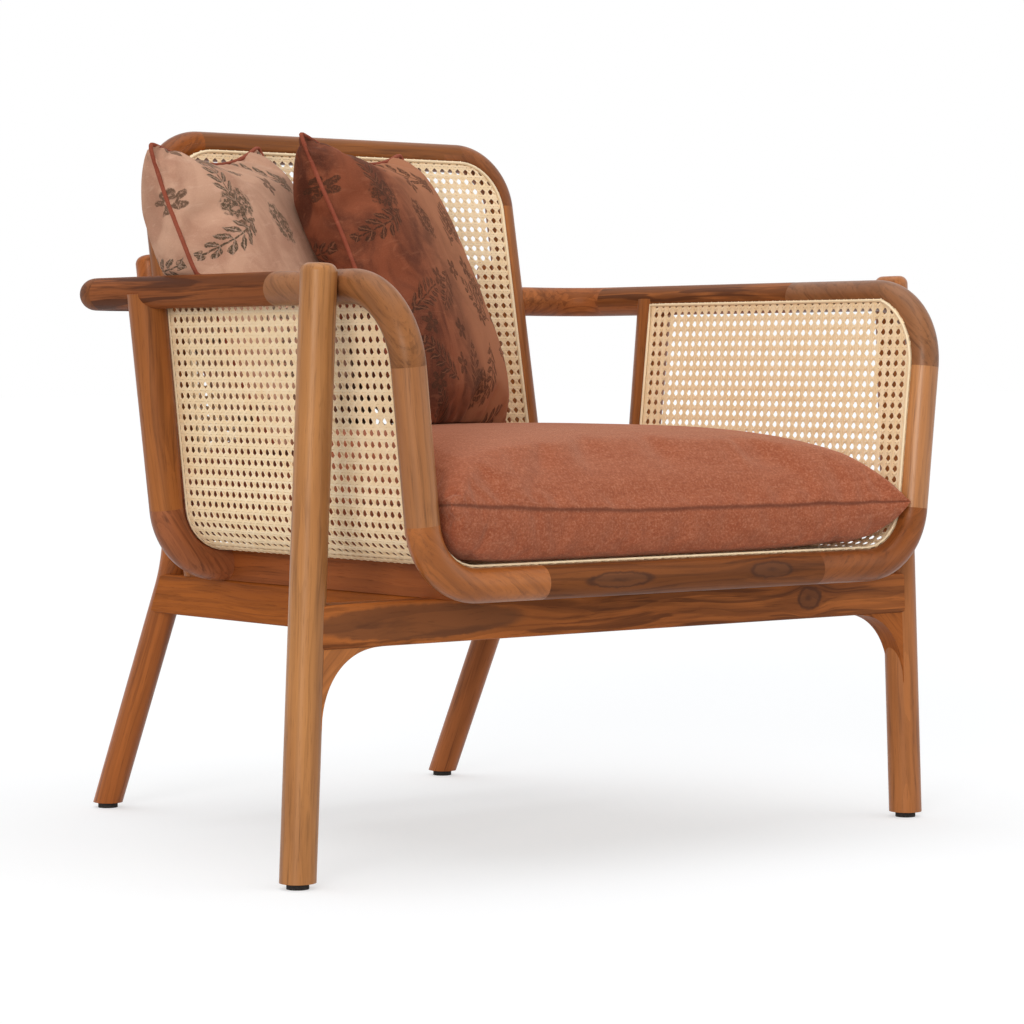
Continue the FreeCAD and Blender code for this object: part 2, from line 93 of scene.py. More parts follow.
def noiseValue(tree, vector, scale, detail=3.0, rough=0.55, twist=0.0):
    links = {"Vector": vector, "Scale": scale, "Detail": detail, "Roughness": rough, "Distortion": twist}
    return addNode(tree, "ShaderNodeTexNoise", links).outputs[0]


def shiver(tree, vector, scale, detail, reach):  # a noisy push to all sides
    cloud = addNode(tree, "ShaderNodeTexNoise", {"Vector": vector, "Scale": scale, "Detail": detail})
    return stretch(tree, vectorCalc(tree, "SUBTRACT", cloud.outputs["Color"], (0.5, 0.5, 0.5)), reach)


def newGroup(name, inputs, outputs):
    tree = bpy.data.node_groups.new(name, "ShaderNodeTree")
    for label, kind, value in inputs:
        socket = tree.interface.new_socket(label, in_out="INPUT", socket_type=kind)
        if value is not None:
            socket.default_value = value
    for label, kind in outputs:
        tree.interface.new_socket(label, in_out="OUTPUT", socket_type=kind)
    return tree, tree.nodes.new("NodeGroupInput").outputs, tree.nodes.new("NodeGroupOutput")


def useGroup(tree, group, links):
    return addNode(tree, "ShaderNodeGroup", links, node_tree=group).outputs


def clearTree(owner):
    owner.use_nodes = True
    owner.node_tree.nodes.clear()
    return owner.node_tree


def newMaterial(name):
    material = bpy.data.materials.new(name)
    tree = clearTree(material)
    shader = tree.nodes.new("ShaderNodeBsdfPrincipled")
    addNode(tree, "ShaderNodeOutputMaterial", {0: shader.outputs[0]})
    return material, tree, shader, addNode(tree, "ShaderNodeTexCoord").outputs["Object"]


def bumped(tree, height, strength, distance):
    links = {"Height": height, "Strength": strength, "Distance": distance}
    return addNode(tree, "ShaderNodeBump", links).outputs[0]


def tint(red, green, blue):  # screen colour, 0 to 255, to scene colour
    def line(part):
        part = part / 255
        return part / 12.92 if part <= 0.04045 else ((part + 0.055) / 1.055) ** 2.4
    return (line(red), line(green), line(blue), 1.0)


def newMesh(name, verts, faces):
    mesh = bpy.data.meshes.new(name)
    mesh.from_pydata(verts, [], faces)
    return mesh


def addPiece(name, data, *materials):
    for material in materials:
        data.materials.append(material)
    piece = bpy.data.objects.new(name, data)
    bpy.context.collection.objects.link(piece)
    return piece


def shares(full, count):  # even stops from nothing to the full amount
    return [full * index / count for index in range(count + 1)]


# camera, floor and light

photoView = {
    "place": (-2.22731, -2.86118, 0.49955), "turn": (90 - 2.533, 0.0, -38.696),
    "lens": 117.305, "sensor": 36.0, "farthest": 100.0,
}
cameraData = bpy.data.cameras.new("photo_camera")
cameraData.sensor_width = photoView["sensor"]
cameraData.lens = photoView["lens"]
cameraData.clip_end = photoView["farthest"]
camera = addPiece("photo_camera", cameraData)
camera.location = photoView["place"]
camera.rotation_euler = [math.radians(angle) for angle in photoView["turn"]]
bpy.context.scene.camera = camera
bpy.context.scene.view_settings.view_transform = "Standard"

studio = {
    "white": (1.0, 1.0, 1.0, 1.0), "worldStrength": 0.40,
    "keyFrom": (-2.5, -1.9, 0.75), "keyPower": 1.36, "keySpread": 24.0,
    "fillFrom": (2.2, -2.6, 1.0), "fillPower": 0.42, "fillSpread": 50.0,
    "topFrom": (-0.3, -0.2, 3.0), "topPower": 1.30, "topSpread": 60.0,
    "floorReach": 40.0, "floorBounce": (0.68, 0.68, 0.68, 1.0), "floorColour": (0.488, 0.500, 0.512, 1.0),
    "floorGlow": 0.555,
}


def seenDirectly(tree):  # 1 where the camera or a reflection looks, 0 for light on its way to a piece
    path = tree.nodes.new("ShaderNodeLightPath").outputs
    seen = calc(tree, "MAXIMUM", path["Is Camera Ray"], path["Is Glossy Ray"])
    return calc(tree, "MAXIMUM", seen, path["Is Transmission Ray"])


def makeWorld():
    world = bpy.data.worlds.new("studio")
    bpy.context.scene.world = world
    tree = clearTree(world)
    strength = between(tree, seenDirectly(tree), 0.0, 1.0, studio["worldStrength"], 1.0)
    glow = addNode(tree, "ShaderNodeBackground", {"Color": studio["white"], "Strength": strength})
    addNode(tree, "ShaderNodeOutputWorld", {0: glow.outputs[0]})


def softLamp(name, source, power, spread):  # a wide even light, so that the floor is lit alike all over
    data = bpy.data.lights.new(name, "SUN")
    data.angle = math.radians(spread)
    data.energy = power
    lamp = addPiece(name, data)
    lamp.location = source
    lamp.rotation_euler = Vector(source).to_track_quat("Z", "Y").to_euler()


def makeFloor():
    reach = studio["floorReach"]
    corners = [(-reach, -reach, 0), (reach, -reach, 0), (reach, reach, 0), (-reach, reach, 0)]
    material = bpy.data.materials.new("floor_white")
    tree = clearTree(material)
    seen = seenDirectly(tree)
    shade = mixColour(tree, seen, studio["floorBounce"], studio["floorColour"])
    base = addNode(tree, "ShaderNodeBsdfDiffuse", {"Color": shade})
    glow = addNode(tree, "ShaderNodeEmission", {"Color": studio["white"],
                                                "Strength": times(tree, seen, studio["floorGlow"])})
    both = addNode(tree, "ShaderNodeAddShader", {0: base.outputs[0], 1: glow.outputs[0]})
    addNode(tree, "ShaderNodeOutputMaterial", {0: both.outputs[0]})
    floor = addPiece("floor", newMesh("floor", corners, [(0, 1, 2, 3)]), material)


makeWorld()
for lampName in ("key", "fill", "top"):
    softLamp(lampName + "_light", *[studio[lampName + part] for part in ("From", "Power", "Spread")])
makeFloor()
print("camera, floor and lights set")


# teak

teakLayers = {  # noise in the wood: stretch along and across the grain, scale, detail, roughness, twist
    "broad": ((1.3, 12.0, 12.0), 2.6, 3.0),
    "streak": ((2.2, 70.0, 70.0), 3.0, 5.0, 0.62, 0.35),
    "fibre": ((14.0, 420.0, 420.0), 2.6, 2.0),
    "heart": ((1.1, 20.0, 20.0), 2.1, 4.0, 0.6, 0.5),
    "vein": ((1.0, 46.0, 46.0), 2.4, 3.0, 0.5, 0.7),
}
teakFigure = {  # ranges of the noise that show, and how strongly
    "swayStretch": (2.5, 5.0, 5.0), "sway": (1.6, 2.0, (0.0, 0.020, 0.020)), "ringStretch": (0.10, 1.0, 1.0),
    "ringWave": {"Scale": 44.0, "Distortion": 5.0, "Detail": 3.0, "Detail Scale": 0.7,
                 "Detail Roughness": 0.55},
    "broadRange": (0.32, 0.68), "ringRange": (0.55, 1.0), "streakRange": (0.52, 0.74), "streakShare": 0.62,
    "heartRange": (0.50, 0.60), "veinRange": (0.55, 0.61), "veinShare": 1.3,
    "poreRange": (0.58, 0.72), "poreShare": 0.34, "rough": 0.27, "streakRough": 0.16, "poreRough": 0.10,
    "streakHeight": 0.45, "fibreHeight": 0.55, "poreDepth": 0.5,
}


def makeTeakGrain():
    tree, given, result = newGroup("teak_grain", [
        ("Vector", "NodeSocketVector", None), ("Pale", "NodeSocketColor", None),
        ("Body", "NodeSocketColor", None), ("Dark", "NodeSocketColor", None),
        ("Heart", "NodeSocketFloat", 0.3), ("Figure", "NodeSocketFloat", 0.5),
    ], [("Color", "NodeSocketColor"), ("Rough", "NodeSocketFloat"), ("Height", "NodeSocketFloat")])
    look = teakFigure
    sway = shiver(tree, stretch(tree, given["Vector"], look["swayStretch"]), *look["sway"])
    bent = vectorCalc(tree, "ADD", given["Vector"], sway)
    layers = {name: noiseValue(tree, stretch(tree, bent, amounts), *rest)
              for name, (amounts, *rest) in teakLayers.items()}
    slow = stretch(tree, bent, look["ringStretch"])
    rings = addNode(tree, "ShaderNodeTexWave", {"Vector": slow, **look["ringWave"]},
                    wave_type="RINGS", rings_direction="X", wave_profile="SAW").outputs[1]
    pores = between(tree, layers["fibre"], *look["poreRange"])
    veins = times(tree, between(tree, layers["vein"], *look["veinRange"]), given["Heart"])
    paler = between(tree, layers["broad"], *look["broadRange"])
    colour = mixColour(tree, paler, given["Body"], given["Pale"])
    for share in (times(tree, between(tree, rings, *look["ringRange"]), given["Figure"]),
                  times(tree, between(tree, layers["streak"], *look["streakRange"]), look["streakShare"]),
                  times(tree, between(tree, layers["heart"], *look["heartRange"]), given["Heart"]),
                  calc(tree, "MULTIPLY", veins, look["veinShare"], clamp=True),
                  times(tree, pores, look["poreShare"])):
        colour = mixColour(tree, share, colour, given["Dark"])
    rough = calc(tree, "MULTIPLY_ADD", layers["streak"], look["streakRough"], look["rough"])
    height = times(tree, layers["fibre"], look["fibreHeight"])
    height = calc(tree, "MULTIPLY_ADD", layers["streak"], look["streakHeight"], height)
    feed(tree, result, {
        "Color": colour, "Rough": calc(tree, "MULTIPLY_ADD", pores, look["poreRough"], rough),
        "Height": calc(tree, "SUBTRACT", height, times(tree, pores, look["poreDepth"])),
    })
    return tree


knotForm = {  # ranges are shares of the knot's spread
    "ruffle": (90.0, 3.0, (0.010, 0.006, 0.006)), "patch": (0.85, 1.05), "rimInner": (0.78, 0.98),
    "rimOuter": (1.0, 1.25), "eye": (0.10, 0.45), "eyeShare": 0.7, "bend": (0.2, 2.8), "bendShare": 0.75,
    "duskTint": (96, 60, 40), "duskShare": 0.55, "rimTint": (58, 34, 24), "rimShare": 0.75,
}


def makeTeakKnot():  # one knot: a dark oval with a ring, and the push that bends the grain round it
    tree, given, result = newGroup("teak_knot", [
        ("Vector", "NodeSocketVector", None), ("Middle", "NodeSocketVector", None),
        ("Spread", "NodeSocketVector", None),
    ], [("Mask", "NodeSocketFloat"), ("Ring", "NodeSocketFloat"), ("Push", "NodeSocketVector")])
    form = knotForm
    offset = vectorCalc(tree, "SUBTRACT", given["Vector"], given["Middle"])
    uneven = vectorCalc(tree, "ADD", offset, shiver(tree, given["Vector"], *form["ruffle"]))
    scaled = vectorCalc(tree, "DIVIDE", uneven, given["Spread"])
    distance = addNode(tree, "ShaderNodeVectorMath", {0: scaled}, operation="LENGTH").outputs["Value"]
    outer = between(tree, distance, *form["rimOuter"], 1.0, 0.0)
    rim = times(tree, between(tree, distance, *form["rimInner"]), outer)
    eye = times(tree, between(tree, distance, *form["eye"], 1.0, 0.0), form["eyeShare"])
    fade = between(tree, distance, *form["bend"], form["bendShare"], 0.0)
    push = addNode(tree, "ShaderNodeVectorMath", {0: offset, "Scale": fade}, operation="SCALE").outputs[0]
    feed(tree, result, {
        "Mask": between(tree, distance, *form["patch"], 1.0, 0.0), "Ring": calc(tree, "MAXIMUM", rim, eye),
        "Push": stretch(tree, push, (0.0, -1.0, -1.0)),
    })
    return tree


teakGrain = makeTeakGrain()
teakKnot = makeTeakKnot()

teakFinish = {"paleLift": (1.13, 1.17, 1.20), "darkDrop": (0.56, 0.52, 0.52), "gloss": 0.22,
              "glossTint": (255, 242, 226), "dulling": 1.4, "bump": (0.20, 0.0006), "shift": 3.0}
glossOf = {  # pieces polished by hands, and those that stay dull
    "front_left_leg": 0.32, "front_right_leg": 0.30, "front_left_upright": 0.42, "front_right_upright": 0.56,
    "left_arm_front_elbow": 0.20, "right_arm_front_elbow": 0.30, "front_left_seat_elbow": 0.40,
    "rear_left_post": 0.20, "left_arm_rail": 0.08, "left_arm_rear_elbow": 0.08, "right_arm_rail": 0.14,
    "right_arm_rear_elbow": 0.14, "left_base_rail": 0.10,
    "left_tub_rail": 0.10, "right_tub_rail": 0.10, "front_seat_rail": 0.14, "front_right_bracket": 0.12,
    "front_apron": 0.14,
}
slant = math.radians(6.0)
lean = math.radians(10.7)
rake = math.radians(27.4)
legSplay = 0.0453
teakShadedTones = {  # colour of each piece: the wood's own tone with painted light and shade, set lighter or darker piece by piece for the light that falls on it
    "front_left_leg": (165, 108, 60), "front_right_leg": (159, 95, 50), "rear_left_leg": (155, 85, 39),
    "rear_right_leg": (162, 91, 46), "front_apron": (161, 90, 42), "rear_apron": (140, 76, 37),
    "left_base_rail": (147, 77, 26), "right_base_rail": (146, 76, 34), "left_tub_rail": (137, 72, 34),
    "right_tub_rail": (134, 68, 28), "front_seat_rail": (113, 61, 27), "rear_seat_rail": (136, 76, 38),
    "front_left_seat_elbow": (155, 87, 38), "front_right_seat_elbow": (132, 71, 31),
    "rear_left_seat_elbow": (154, 89, 54), "rear_right_seat_elbow": (150, 84, 42),
    "front_left_upright": (148, 92, 51), "front_right_upright": (173, 112, 64),
    "rear_left_post": (151, 88, 43), "rear_right_post": (146, 86, 44),
    "left_arm_front_elbow": (138, 86, 49), "right_arm_front_elbow": (131, 82, 49),
    "left_arm_rail": (131, 72, 37), "right_arm_rail": (149, 86, 43),
    "left_arm_rear_elbow": (112, 61, 29), "right_arm_rear_elbow": (156, 90, 48),
    "back_left_stile": (142, 84, 44), "back_right_stile": (158, 94, 48), "back_top_rail": (129, 73, 31),
    "back_bottom_rail": (130, 74, 38), "back_left_corner": (134, 69, 23), "back_right_corner": (134, 76, 38),
    "front_left_bracket": (182, 111, 57), "front_right_bracket": (148, 80, 34),
}
teakPieces = {  # node: grain direction, share of dark heartwood, strength of the ring figure
    "front_apron": ((1, 0, 0), 0.50, 0.34),
    "rear_apron": ((1, 0, 0), 0.30, 0.25),
    "front_seat_rail": ((1, 0, 0), 0.30, 0.30),
    "rear_seat_rail": ((1, 0, 0), 0.30, 0.25),
    "back_top_rail": ((1, 0, 0), 0.20, 0.15),
    "back_bottom_rail": ((1, 0, 0), 0.20, 0.15),
}
for side, sign in (("left", -1), ("right", 1)):
    sideUp = (sign * math.sin(slant), 0, math.cos(slant))
    legUp = (-sign * legSplay, 0, 1)
    backUp = (0, math.sin(lean), math.cos(lean))
    teakPieces.update({
        f"front_{side}_leg": (legUp, 0.10, 0.16),
        f"rear_{side}_leg": ((0, -math.sin(rake), math.cos(rake)), 0.20, 0.20),
        f"front_{side}_bracket": ((sign * 0.7, 0, -0.7), 0.20, 0.25),
        f"{side}_base_rail": ((0, 1, 0), 0.16, 0.18),
        f"{side}_tub_rail": ((0, 1, 0), 0.20, 0.20),
        f"front_{side}_upright": (sideUp, 0.14, 0.18),
        f"front_{side}_seat_elbow": ((1, 0, 0.8 * sign), 0.15, 0.10),
        f"rear_{side}_seat_elbow": ((0.8, 0, sign), 0.25, 0.25),
        f"rear_{side}_post": (sideUp, 0.20, 0.20),
        f"{side}_arm_front_elbow": ((0, 1, 0.8), 0.20, 0.12),
        f"{side}_arm_rail": ((0, 1, 0), 0.62, 0.28),
        f"{side}_arm_rear_elbow": ((0.8, -sign, 0), 0.30, 0.25),
        f"back_{side}_stile": (backUp, 0.20, 0.16),
        f"back_{side}_corner": ((-0.7 * sign, 0, 0.7), 0.20, 0.16),
    })

knots = {  # node: place on the piece, spread along and across in metres, strength of the dark and of its ring
    "front_seat_rail": [((-0.095, -0.372, 0.288), (0.040, 0.020, 0.007), 0.9, 0.9),
                        ((0.109, -0.372, 0.290), (0.027, 0.020, 0.008), 0.8, 0.8)],
    "front_apron": [((0.246, -0.282, 0.250), (0.016, 0.020, 0.011), 0.9, 0.9),
                    ((-0.275, -0.282, 0.250), (0.135, 0.020, 0.018), 1.2, 0.0)],
}


def makeTeak(name, direction, heart, figure):
    shadedTone, finish = teakShadedTones[name], teakFinish
    dice = random.Random(name)
    material, tree, shader, coords = newMaterial("teak_" + name)
    turn = Vector(direction).normalized().rotation_difference(Vector((1, 0, 0))).to_matrix()
    straight = addNode(tree, "ShaderNodeMapping", {"Vector": coords, "Rotation": turn.to_euler()}).outputs[0]
    grainVector = straight
    marks = []
    for place, spread, dusk, rim in knots.get(name, []):
        middle = turn @ Vector(place)
        knot = useGroup(tree, teakKnot, {"Vector": straight, "Middle": middle, "Spread": spread})
        grainVector = vectorCalc(tree, "ADD", grainVector, knot["Push"])
        marks.append((knot["Mask"], knotForm["duskShare"] * dusk, knotForm["duskTint"]))
        marks.append((knot["Ring"], knotForm["rimShare"] * rim, knotForm["rimTint"]))
    shift = [dice.uniform(-finish["shift"], finish["shift"]) for axis in range(3)]
    # the piece's colour holds painted light and shade besides the wood's own tone
    grain = useGroup(tree, teakGrain, {
        "Vector": vectorCalc(tree, "ADD", grainVector, shift), "Body": tint(*shadedTone),
        "Pale": tint(*[min(255, part * lift) for part, lift in zip(shadedTone, finish["paleLift"])]),
        "Dark": tint(*[part * drop for part, drop in zip(shadedTone, finish["darkDrop"])]),
        "Heart": heart, "Figure": figure,
    })
    colour = grain["Color"]
    for mask, share, stain in marks:
        colour = mixColour(tree, times(tree, mask, share), colour, tint(*stain))
    gloss = glossOf.get(name, finish["gloss"])
    dull = max(0.0, finish["gloss"] - gloss) * finish["dulling"]
    feed(tree, shader, {
        "Base Color": colour, "Roughness": calc(tree, "ADD", grain["Rough"], dull),
        "Specular IOR Level": gloss, "Specular Tint": tint(*finish["glossTint"]),
        "Normal": bumped(tree, grain["Height"], *finish["bump"]),
    })
    return material


def dress(node, material):
    mesh = nodes[node].data
    mesh.materials.clear()
    mesh.materials.append(material)


for name, settings in teakPieces.items():
    dress(name, makeTeak(name, *settings))
print("teak on", len(teakPieces), "pieces")


# corner brackets: a hollow curve from under the apron that fades out on the leg

bracketForm = {
    "startX": 0.318, "reach": 0.0735, "topZ": 0.228, "drop": 0.082, "power": 2.25, "steps": 28,
    "frontY": -0.2797, "thick": 0.0242, "rim": 0.0020, "rimSteps": 3, "intoLeg": 0.010, "legLean": 0.004,
}
sharpAngle = math.radians(40)


def makeBracket(side, sign):
    node = f"front_{side}_bracket"
    form = bracketForm
    curve = []
    for angle in shares(math.pi / 2, form["steps"]):
        out = math.sin(angle) ** (2 / form["power"])
        down = 1 - math.cos(angle) ** (2 / form["power"])
        curve.append((form["startX"] + form["reach"] * out, form["topZ"] - form["drop"] * down))
    endX = form["startX"] + form["reach"] + form["intoLeg"]
    outline = curve + [(endX, curve[-1][1]), (endX - form["legLean"], form["topZ"])]
    sheet = bmesh.new()
    rings = []
    for y in (form["frontY"], form["frontY"] + form["thick"]):
        rings.append([sheet.verts.new((sign * x, y, z)) for x, z in outline])
    count = len(outline)
    sheet.faces.new(rings[0])
    sheet.faces.new(rings[1][::-1])
    for index in range(count):
        following = (index + 1) % count
        sheet.faces.new((rings[0][index], rings[1][index], rings[1][following], rings[0][following]))
    rims = []
    for ring in rings:
        rims += [sheet.edges.get((ring[index], ring[index + 1])) for index in range(form["steps"])]
    bmesh.ops.bevel(sheet, geom=rims, offset=form["rim"], segments=form["rimSteps"], profile=0.5,
                    affect="EDGES")
    bmesh.ops.recalc_face_normals(sheet, faces=sheet.faces)
    mesh = bpy.data.meshes.new(node + "_carved")
    sheet.to_mesh(mesh)
    sheet.free()
    mesh.shade_smooth()
    mesh.set_sharp_from_angle(angle=sharpAngle)
    piece = addPiece(node + "_carved", mesh, nodes[node].data.materials[0])
    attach(piece, "chair_frame")
    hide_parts(node)


makeBracket("left", -1)
makeBracket("right", 1)
print("brackets carved")


# cane webbing: pairs of strands both ways and single strands on both diagonals

caneWork = {
    "pitch": 0.0113, "strandWidth": 0.0021, "pairSpread": 0.0013, "strandThick": 0.0005, "pairLayer": 0.0003,
    "diagonalWave": 0.0008, "acrossStop": 4, "alongStop": 3, "sheetThick": 0.002,
    "bendRadius": 0.049, "bendSteps": 8, "bendStop": 0.02, "straightStop": 0.03, "cornerSteps": 12,
    "frontCornerRadius": 0.077, "frontCornerRise": 0.004, "backCornerRadius": 0.058, "backInset": 0.0075,
    "edgeWidth": 0.0036, "edgeHeight": 0.0020, "edgeBase": 0.0009, "outerHeight": 0.0006,
    "backRod": 0.033, "rebate": 0.001, "lipSteps": 5, "lipFloor": -0.0013,
}


def fillIn(stops, low, high, step):  # sorted stops between two limits, with more where they lie far apart
    inner = [low] + [stop for stop in sorted(stops) if low + 1e-6 < stop < high - 1e-6] + [high]
    full = []
    for first, second in zip(inner, inner[1:]):
        count = max(1, math.ceil((second - first) / step))
        full += [first + (second - first) * index / count for index in range(count)]
    return full + [high]


def straightStops(low, high):
    return fillIn([], low, high, caneWork["straightStop"])


def tubShape():
    low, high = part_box("tub_cane")
    skin = caneWork["sheetThick"] / 2
    seatZ = low.z + skin
    topX = high.x - skin
    run = high.z - seatZ
    cornerX = topX - run * math.tan(slant)
    radius = caneWork["bendRadius"]
    turn = math.pi / 2 - slant
    tangent = radius * math.tan(turn / 2)
    flat = cornerX - tangent
    arc = radius * turn
    side = run / math.cos(slant) - tangent
    arcEnd = Vector((flat + radius * math.sin(turn), 0, seatZ + radius * (1 - math.cos(turn))))

    def place(u, v, w):  # u across the tub from its middle, v to the rear, w to the inside
        sign = -1 if u < 0 else 1
        reach = abs(u)
        if reach <= flat:
            spot, normal = Vector((reach, 0, seatZ)), Vector((0, 0, 1))
        elif reach <= flat + arc:
            angle = (reach - flat) / radius
            normal = Vector((-math.sin(angle), 0, math.cos(angle)))
            spot = Vector((flat, 0, seatZ + radius)) - normal * radius
        else:
            normal = Vector((-math.cos(slant), 0, math.sin(slant)))
            spot = arcEnd + Vector((math.sin(slant), 0, math.cos(slant))) * (reach - flat - arc)
        spot = spot + normal * w
        return Vector((spot.x * sign, low.y + v, spot.z))

    length = high.y - low.y
    half = flat + arc + side
    cornerRadius = caneWork["frontCornerRadius"]
    arcZ = high.z + caneWork["frontCornerRise"] - cornerRadius

    def keeps(u, v):
        if abs(u) > half or v < 0 or v > length:
            return False
        overY = cornerRadius - v
        overZ = high.z - (half - abs(u)) * math.cos(slant) - arcZ
        inCorner = overY > 0 and overZ > 0 and abs(u) > flat + arc
        return not (inCorner and overY ** 2 + overZ ** 2 > cornerRadius ** 2)

    def sideU(z):
        return half - (high.z - z) / math.cos(slant)

    steps = [flat + part for part in shares(arc, caneWork["bendSteps"])]
    bends = sorted([-step for step in steps] + steps)
    inset = caneWork["edgeWidth"] / 2  # the line of the edging, once round the sheet
    arcRadius = cornerRadius - inset
    topZ = high.z - inset
    corner = []
    for angle in shares(math.asin((topZ - arcZ) / arcRadius), caneWork["cornerSteps"]):
        corner.append((sideU(arcZ + arcRadius * math.sin(angle)), cornerRadius - arcRadius * math.cos(angle)))
    frontStops = fillIn(bends, -corner[0][0], corner[0][0], caneWork["bendStop"])
    rearStops = fillIn(bends, -sideU(topZ), sideU(topZ), caneWork["bendStop"])
    topStops = straightStops(corner[-1][1], length - inset)[1:-1]
    line = [(u, inset) for u in frontStops[:-1]] + corner
    line += [(sideU(topZ), v) for v in topStops]
    line += [(u, length - inset) for u in reversed(rearStops)]
    line += [(-sideU(topZ), v) for v in reversed(topStops)]
    line += [(-u, v) for u, v in reversed(corner[1:])]
    return place, keeps, half, length, bends, line


def backShape():
    low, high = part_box("back_cane")
    thick = caneWork["sheetThick"]
    up = Vector((0, math.sin(lean), math.cos(lean)))
    front = Vector((0, -math.cos(lean), math.sin(lean)))
    length = (high.z - low.z - thick * math.sin(lean)) / math.cos(lean) - caneWork["backInset"]
    foot = Vector((0, low.y + thick * math.cos(lean), low.z)) + front * (thick / 2)
    half = high.x - caneWork["backInset"]
    radius = caneWork["backCornerRadius"]

    def place(u, v, w):
        return Vector((u, 0, 0)) + foot + up * v + front * w

    def keeps(u, v):
        if abs(u) > half or v < 0 or v > length:
            return False
        overX = abs(u) - (half - radius)
        overV = v - (length - radius)
        return not (overX > 0 and overV > 0 and overX ** 2 + overV ** 2 > radius ** 2)

    inset = caneWork["edgeWidth"] / 2
    arcRadius = radius - inset
    corner = []
    for angle in shares(math.pi / 2, caneWork["cornerSteps"]):
        corner.append((half - radius + arcRadius * math.cos(angle),
                       length - radius + arcRadius * math.sin(angle)))
    sideStops = straightStops(inset, length - radius)[1:-1]
    line = [(u, inset) for u in straightStops(inset - half, half - inset)]
    line += [(half - inset, v) for v in sideStops] + corner
    line += [(u, length - inset) for u in reversed(straightStops(radius - half, half - radius)[1:-1])]
    line += [(-u, v) for u, v in reversed(corner)]
    line += [(inset - half, v) for v in reversed(sideStops)]
    return place, keeps, half, length, [], line


def strandRuns(points, keeps):  # splits a line of flat points where it leaves the sheet
    runs, run = [], []
    for point in points:
        if keeps(point[0], point[1]):
            run.append(point)
        else:
            if len(run) > 1:
                runs.append(run)
            run = []
    if len(run) > 1:
        runs.append(run)
    return runs


def sideStep(before, after, wide):  # the flat way across a line, as long as half its width
    runU, runV = after[0] - before[0], after[1] - before[1]
    size = math.hypot(runU, runV)
    return -runV / size * wide, runU / size * wide


def addStrand(points, place, tone, verts, faces, tones):
    wide = caneWork["strandWidth"] / 2
    thick = caneWork["strandThick"] / 2
    start = len(verts)
    for index, (u, v, w) in enumerate(points):
        sideU, sideV = sideStep(points[max(index - 1, 0)], points[min(index + 1, len(points) - 1)], wide)
        for across, level in ((-1, -1), (1, -1), (1, 1), (-1, 1)):
            verts.append(place(u + sideU * across, v + sideV * across, w + thick * level))
            tones.append(tone)
        if index:
            base = start + (index - 1) * 4
            for edge in range(4):
                nextEdge = (edge + 1) % 4
                faces.append((base + edge, base + nextEdge, base + 4 + nextEdge, base + 4 + edge))
    last = len(verts) - 4
    faces.append((start + 3, start + 2, start + 1, start))
    faces.append((last, last + 1, last + 2, last + 3))


def edgeSearch(inside, outside, keeps):  # the last flat point on the sheet between two points
    for step in range(7):
        middle = ((inside[0] + outside[0]) / 2, (inside[1] + outside[1]) / 2)
        if keeps(*middle):
            inside = middle
        else:
            outside = middle
    return inside


def clippedLine(points, keeps):
    full = []
    for index, point in enumerate(points):
        inHere = keeps(point[0], point[1])
        if index:
            inBefore = keeps(points[index - 1][0], points[index - 1][1])
            if inHere != inBefore:
                good, bad = (point, points[index - 1]) if inHere else (points[index - 1], point)
                edge = edgeSearch(good[:2], bad[:2], keeps)
                full.append((edge[0], edge[1], good[2]))
        full.append(point)
    return full


def weaveCane(name, shape, node, material):
    place, keeps, half, length, bends = shape[:5]
    dice = random.Random(name)
    pitch, spread = caneWork["pitch"], caneWork["pairSpread"]
    layer, wave = caneWork["pairLayer"], caneWork["diagonalWave"]
    verts, faces, tones = [], [], []

    def lay(points):
        for run in strandRuns(clippedLine(points, keeps), keeps):
            addStrand(run, place, dice.random(), verts, faces, tones)

    countU = math.ceil(half / pitch) + 1
    countV = math.ceil(length / pitch) + 1
    firstV = (length - (countV - 1) * pitch) / 2
    skipU, skipV = caneWork["acrossStop"], caneWork["alongStop"]
    stopsU = {index * pitch * skipU for index in range(-countU // skipU, countU // skipU + 1)}
    stopsU = sorted({-half - pitch, half + pitch} | set(bends) | stopsU)
    stopsV = [index * pitch * skipV - pitch for index in range(countV // skipV + 3)]
    for row in range(-1, countV + 1):
        for offset in (-spread, spread):  # strands across the sheet
            lay([(u, firstV + row * pitch + offset, layer) for u in stopsU])
    for column in range(-countU, countU + 1):
        for offset in (-spread, spread):  # strands along the sheet
            lay([((column + 0.5) * pitch + offset, v, -layer) for v in stopsV])
    for line in range(-countU - countV, countU + countV + 1):
        for slope in (1, -1):  # single strands on the diagonals, over one pair and under the next
            points = []
            for step in range(-1, 2 * countV + 2):
                u, v = (line + slope * step / 2) * pitch, firstV + step * pitch / 2
                over = (step % 2 == 0) == (slope > 0)
                points.append((u, v, wave if over else -wave))
            lay(points)
    mesh = newMesh(name, verts, faces)
    mesh.attributes.new("strandTone", "FLOAT", "POINT").data.foreach_set("value", tones)
    piece = addPiece(name, mesh, material)
    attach(piece, "chair_frame")
    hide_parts(node)
    print(name, "faces", len(faces))


